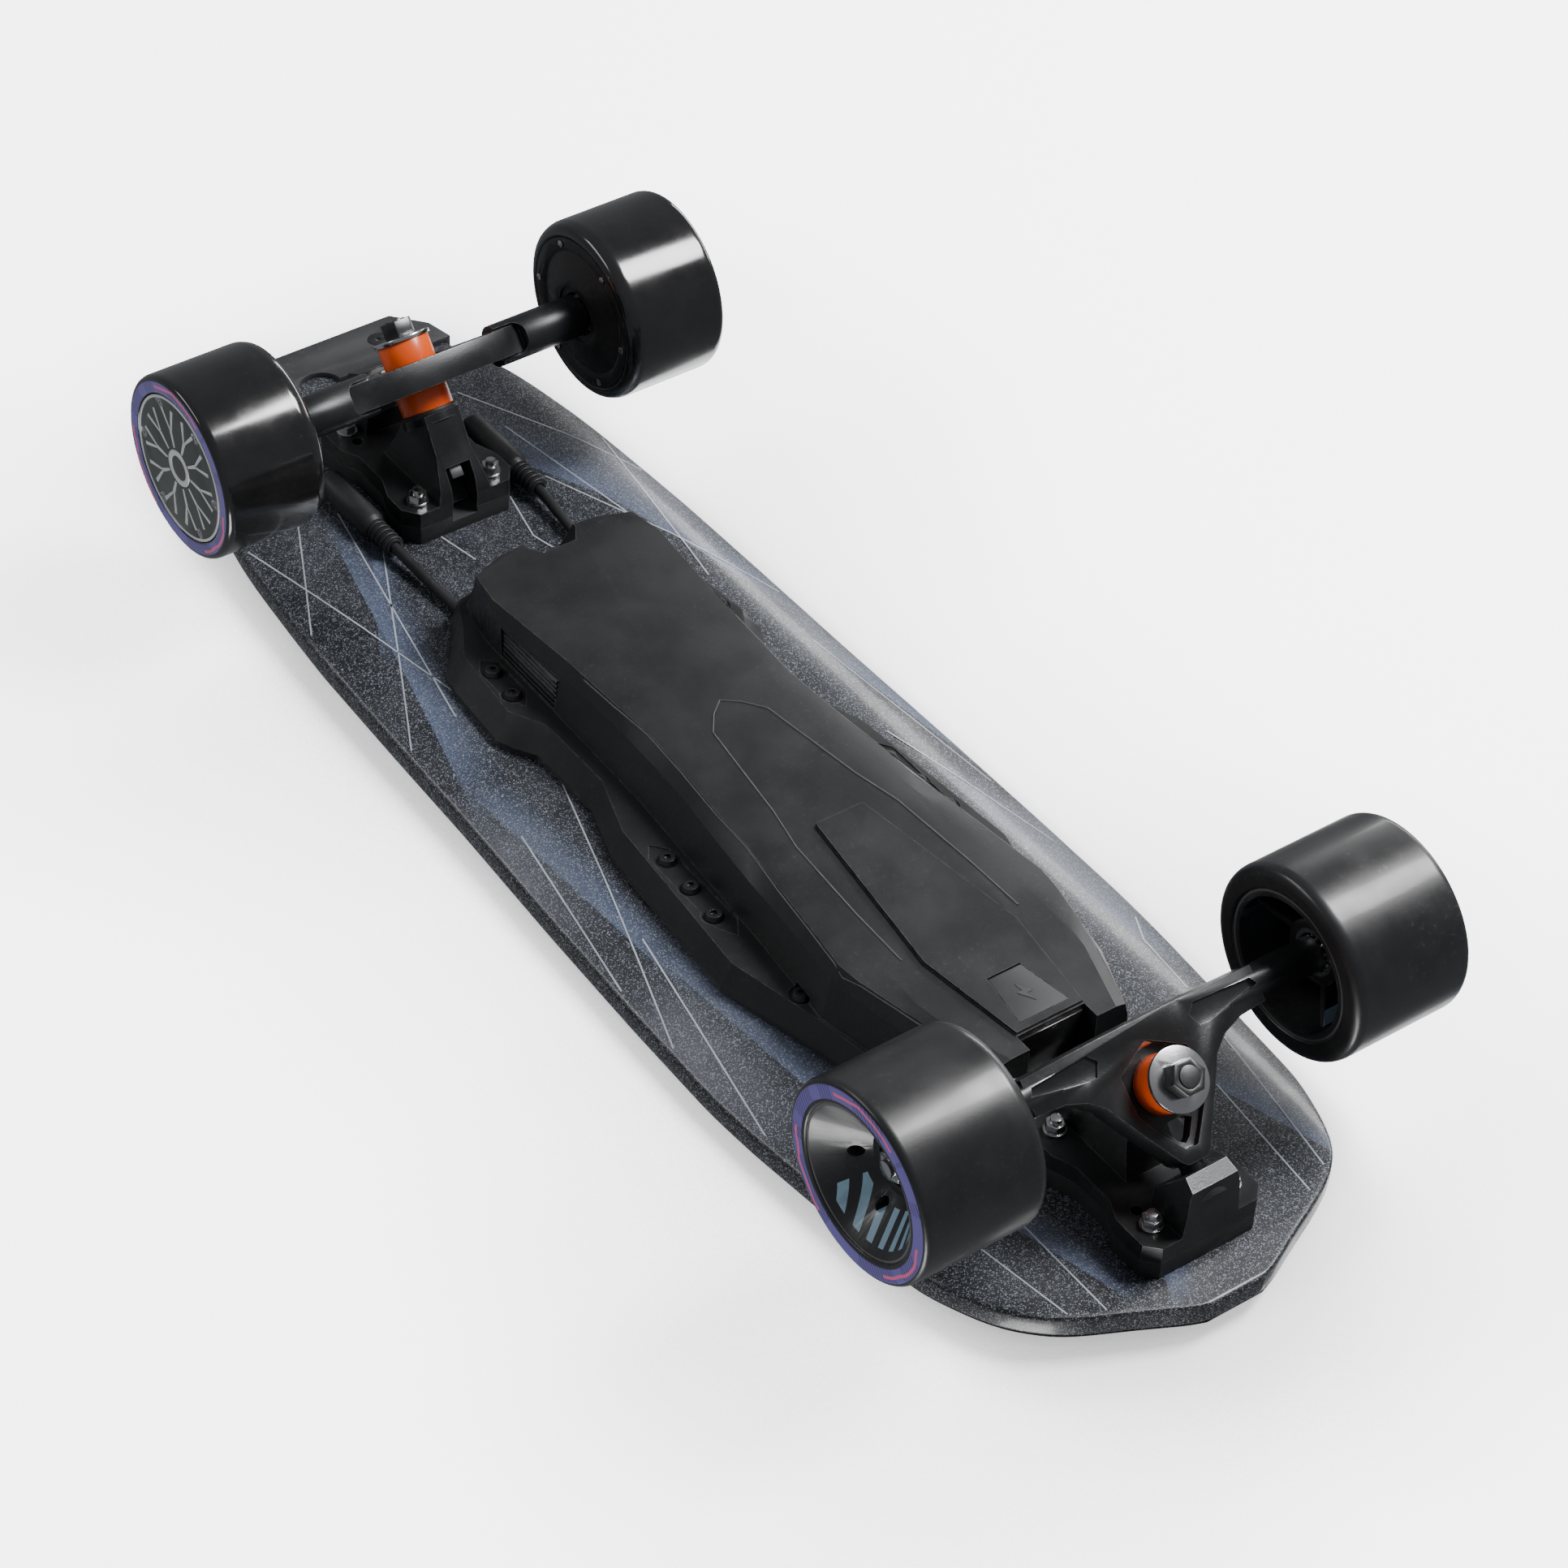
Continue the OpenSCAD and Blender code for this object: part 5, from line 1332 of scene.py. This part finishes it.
@dataclass
class FrontWheel:
    """One free-rolling front wheel."""

    paints: Paints
    side: Side

    def build(self) -> None:
        """Builds the wheel's pieces."""
        body = f"front_{self.side.word}_wheel"
        low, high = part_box(f"front_{self.side.word}_tyre")
        axle = ((low.y + high.y) / 2, (low.z + high.z) / 2)
        radius = (high.z - low.z) / 2 / MM
        outer = max(abs(low.x), abs(high.x)) / MM
        inner = min(abs(low.x), abs(high.x)) / MM
        core_r = 34.5
        ink = self.paints.add(TyreInk(
            f"front_tyre_ink_{self.side.word}", (0.013, 0.013, 0.014), (0.019, 0.019, 0.020),
            (0.05, 0.05, 0.05), (0.3, 0.42), coat=0.15, wear=0.0, bump=0.00002, axle=axle, face=outer * MM))
        outline = filleted([
            (core_r, inner), (radius - 3.6, inner), (radius - 1.0, inner + 1.6), (radius, inner + 4.5),
            (radius, outer - 2.4), (radius - 0.8, outer - 0.6), (radius - 2.4, outer), (core_r, outer)], 1.4, 5)
        tyre = lathe(f"front_{self.side.word}_tyre_fine", outline, axle, self.side, ink, angle=45.0)
        settle(tyre, body, "urethane_black", f"front_{self.side.word}_tyre")
        core = refine(f"front_{self.side.word}_core", body, self.paints, 0.25)
        core.data.materials[0] = self.paints.add(CoreInk(
            f"core_ink_{self.side.word}", (0.013, 0.013, 0.014), (0.020, 0.020, 0.022),
            (0.08, 0.08, 0.08), (0.26, 0.4), coat=0.2, axle=axle, bump=0.00003))


@dataclass
class MotorWheel:
    """One rear hub motor with its sleeve, lid and inner cover."""

    paints: Paints
    side: Side
    bars: int = 10
    ring_array: bpy.types.NodeTree | None = None

    def bar_shape(self, face: float) -> tuple[list, list]:
        """One branching bar of the lid, pointing along +Y from the axle.

        Args:
            face: Distance of the lid's face from the middle, in millimetres.

        Returns:
            Points and faces.
        """
        shapes = [
            [(-0.6, 10.5), (0.6, 10.5), (1.0, 19.5), (-1.0, 19.5)],
            [(-0.1, 19.3), (1.0, 19.3), (5.6, 29.4), (3.9, 30.2)],
            [(-1.0, 19.3), (0.1, 19.3), (-3.9, 30.2), (-5.6, 29.4)],
        ]
        verts: list = []
        faces: list = []
        for shape in shapes:
            points, sides = prism(shape, face, face + 0.3)
            base = len(verts)
            verts += [(z * MM * self.side.value, y * MM, x * MM) for x, y, z in points]
            faces += [tuple(base + i for i in side) for side in sides]
        return verts, faces

    def build(self) -> None:
        """Builds the wheel's pieces."""
        word = self.side.word
        body = f"rear_{word}_wheel"
        low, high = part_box(f"rear_{word}_tyre")
        axle = ((low.y + high.y) / 2, (low.z + high.z) / 2)
        radius = (high.z - low.z) / 2 / MM
        outer = max(abs(low.x), abs(high.x)) / MM
        inner = min(abs(low.x), abs(high.x)) / MM
        lid_low, lid_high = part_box(f"rear_{word}_lid")
        lid_r = (lid_high.z - lid_low.z) / 2 / MM
        lid_face = max(abs(lid_low.x), abs(lid_high.x)) / MM
        can_r = 38.0
        ink = self.paints.add(TyreInk(
            f"rear_tyre_ink_{word}", (0.008, 0.008, 0.0085), (0.012, 0.012, 0.0125), (0.05, 0.05, 0.05), (0.1, 0.2),
            coat=0.6, wear=0.0, bump=0.00001, dust=0.06, axle=axle, face=outer * MM, band=(0.0368, 0.0424)))
        outline = filleted([
            (can_r, inner), (radius - 4.0, inner), (radius - 1.4, inner + 1.6), (radius, inner + 5.5),
            (radius, outer - 2.6), (radius - 0.8, outer - 0.7), (radius - 2.4, outer), (lid_r + 0.3, outer),
            (lid_r + 0.3, outer - 4.0), (can_r, outer - 4.0)], 1.5, 5)
        tyre = lathe(f"rear_{word}_tyre_fine", outline, axle, self.side, ink, angle=45.0)
        settle(tyre, body, "urethane_black", f"rear_{word}_tyre")
        refine(f"rear_{word}_lid", body, self.paints, 0.3)
        rim = lathe(f"rear_{word}_lid_rim", filleted([
            (lid_r - 1.5, lid_face - 0.6), (lid_r - 0.2, lid_face - 0.6), (lid_r - 0.2, lid_face + 0.3),
            (lid_r - 1.5, lid_face + 0.3)], 0.3, 3), axle, self.side, self.paints["lid_groove"], angle=45.0)
        settle(rim, body, "lid_grey")
        hub = lathe(f"rear_{word}_lid_hub", filleted([
            (6.2, lid_face - 0.8), (9.6, lid_face - 0.8), (9.0, lid_face + 0.35), (6.2, lid_face + 0.2)], 0.3, 3),
            axle, self.side, self.paints["lid_groove"], angle=45.0)
        settle(hub, body, "lid_grey")
        bars = make_object(f"rear_{word}_lid_bars", *self.bar_shape(lid_face - 0.1), self.paints["lid_groove"])
        grow(bars, self.ring_array, Vector((0.0, *axle)), Count=self.bars, Material=self.paints["lid_groove"])
        settle(bars, body, "lid_grey")
        refine(f"rear_{word}_screws", body, self.paints, 0.12)
        refine(f"rear_{word}_inner_cover", body, self.paints, 0.3)
        refine(f"rear_{word}_rotor", body, self.paints, 0.0)


# ---------------------------------------------------------------- cover and cables


@dataclass
class CoverKit:
    """Electronics cover with its pale beads of painted highlight, screws, flap and label."""

    paints: Paints
    path_bead: bpy.types.NodeTree
    slat_count: int = 5
    bead_steps: int = 4
    panel: tuple[Point2, ...] = (
        (1.5, 44.8), (10, 58.3), (20, 69.3), (27, 64.8), (34, 60.8), (41, 55.8),
        (47.5, 54.3), (55, 50.8), (62, 48.8), (68, 50.8), (75.5, 52.6),
    )

    spine: tuple[Point2, ...] = (
        (0.0, 62.0), (7.5, 60.5), (15.0, 58.0), (22.5, 44.0), (27.5, 38.0), (30.5, 26.0), (31.5, 15.0),
    )
    skin: BVHTree = field(init=False)

    def __post_init__(self) -> None:
        """Reads the cover's surface from the frame."""
        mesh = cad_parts["electronics_cover"].data
        self.skin = BVHTree.FromPolygons([v.co for v in mesh.vertices], [f.vertices for f in mesh.polygons])

    def trim(self) -> None:
        """Runs a thin bead along both edges of the panel, in a pale colour that paints a highlight on the edge."""
        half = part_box("electronics_cover")[1].x
        for side in Side:
            route = [(side.value * half * wide / 100, share) for share, wide in self.panel]
            self.bead(f"cover_trim_{side.word}", route, 0.00035)

    def bead(self, name: str, route: list[Point2], radius: float) -> None:
        """Runs a bead over the panel.

        Args:
            name: Piece name.
            route: X in metres and percent of the cover's length, at each corner.
            radius: Its radius, in metres.
        """
        low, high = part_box("electronics_cover")
        points = []
        for (xa, a), (xb, b) in zip(route, route[1:]):
            for step in range(self.bead_steps):
                t = step / self.bead_steps
                share = a + (b - a) * t
                points.append(self.on_panel(xa + (xb - xa) * t, low.y + (high.y - low.y) * share / 100))
        piece = path_object(name, points)
        # The bead takes the pale colour, a painted highlight along the raised line.
        grow(piece, self.path_bead, Vector(), 60.0, Radius=radius, Material=self.paints["cover_trim"])
        settle(piece, "board", "cover_plastic")

    def creases(self) -> None:
        """Runs two fine raised creases along the panel's spine, as a narrow V with its ends turned in; their pale
        colour is a painted highlight.
        """
        for side in Side:
            route = [(side.value * x * MM, share) for x, share in self.spine]
            self.bead(f"cover_crease_{side.word}", route, 0.0004)

    def on_panel(self, x: float, y: float) -> tuple[float, float, float]:
        """Point of the road-side panel under a place.

        Args:
            x: Place across, in metres.
            y: Place along, in metres.

        Returns:
            The point, in metres.
        """
        place = self.skin.ray_cast(Vector((x, y, -0.1)), Vector((0.0, 0.0, 1.0)))[0]
        return (x, y, place.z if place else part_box("electronics_cover")[0].z)

    def slats(self) -> None:
        """Sets five slats across each side window."""
        low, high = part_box("heat_sink")
        for side in Side:
            x = side.value * (high.x - 1.4 * MM)
            span = high.z - low.z
            for step in range(self.slat_count):
                z = low.z + span * (step + 0.5) / self.slat_count
                half_y, half_z, deep = (high.y - low.y) / 2 - 0.8 * MM, span / self.slat_count * 0.22, 1.6 * MM
                middle = (low.y + high.y) / 2
                outline = filleted([(half_y * u, half_z * v) for u, v in SQUARE], 0.6 * MM, 3)
                verts, faces = prism(outline, -deep, deep)
                points = [(x + side.value * h - side.value * v * 0.6, middle + u, z + v) for u, v, h in verts]
                piece = make_object(f"window_slat_{side.word}_{step}", points, faces, self.paints["cover_plastic"])
                settle(piece, "board", "cover_plastic")

    def emblem(self) -> None:
        """Puts a plain raised zigzag on the charging flap, in the pale colour of painted highlight."""
        low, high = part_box("charge_flap")
        middle = ((low.x + high.x) / 2, (low.y + high.y) / 2)
        shape = [(1.1, 6.2), (-3.4, -0.9), (-0.5, -0.9), (-1.2, -6.2), (3.4, 1.3), (0.5, 1.3)]
        verts, faces = prism([(x, y - 1.0) for x, y in shape], -0.25, 0.4)
        points = [(middle[0] + x * MM, middle[1] + y * MM, low.z + z * MM) for x, y, z in verts]
        settle(make_object("flap_mark", points, faces, self.paints["cover_trim"]), "charge_flap", "flap_rubber")

    def build(self) -> None:
        """Builds the cover's pieces."""
        refine("electronics_cover", "board", self.paints, 0.5, 9.0)
        self.trim()
        self.creases()
        self.slats()
        for node, bevel in (
            ("cover_screws", 0.2), ("gasket", 0.0), ("heat_sink", 0.2), ("charge_socket", 0.2), ("label_plate", 0.25)
        ):
            refine(node, "board", self.paints, bevel)
        refine("power_button", "power_button", self.paints, 0.35)
        refine("charge_flap", "charge_flap", self.paints, 0.3)
        self.emblem()


@dataclass
class CableKit:
    """Motor cables, their reliefs and plugs."""

    paints: Paints
    path_ribs: bpy.types.NodeTree
    ribs: int = 5

    def build(self) -> None:
        """Builds the cables' pieces."""
        refine("motor_cables", "board", self.paints, 0.0, 60.0)
        refine("cable_plugs", "board", self.paints, 0.35)
        low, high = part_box("cable_plugs")
        height = (low.z + high.z) / 2
        for side in Side:
            x = side.value * (high.x - (high.z - low.z) / 2)
            points = [(x, low.y + (1.6 + 3.4 * step) * MM, height) for step in range(self.ribs)]
            piece = path_object(f"relief_ribs_{side.word}", points)
            grow(piece, self.path_ribs, Vector(), 60.0, Count=self.ribs, Radius=0.0047, Width=0.00075,
                 Material=self.paints["cable_rubber"])
            settle(piece, "board", "cable_rubber")


def dress_nodes(paints: Paints) -> None:
    """Gives every CAD node the material of its slot."""
    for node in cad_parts.values():
        for slot in node.material_slots:
            slot.material = paints[slot.material.name.split(".")[0]]
        log.info("%s dressed", node.name)


def corners(box: tuple[Vector, Vector]) -> list[list[float]]:
    """Returns a box as plain lists."""
    return [[float(v) for v in corner] for corner in box]


def main() -> None:
    """Builds the whole scene."""
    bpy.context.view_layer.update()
    Studio().build()
    paints = Paints()
    dress_nodes(paints)
    ring_array, path_bead, path_ribs = build_ring_array(), build_path_bead(), build_path_ribs()
    DeckKit(paints).build()
    TruckKit(paints).build()
    for side in Side:
        FrontWheel(paints, side).build()
        MotorWheel(paints, side, ring_array=ring_array).build()
    CoverKit(paints, path_bead).build()
    CableKit(paints, path_ribs).build()


if __name__ == "__main__":
    main()
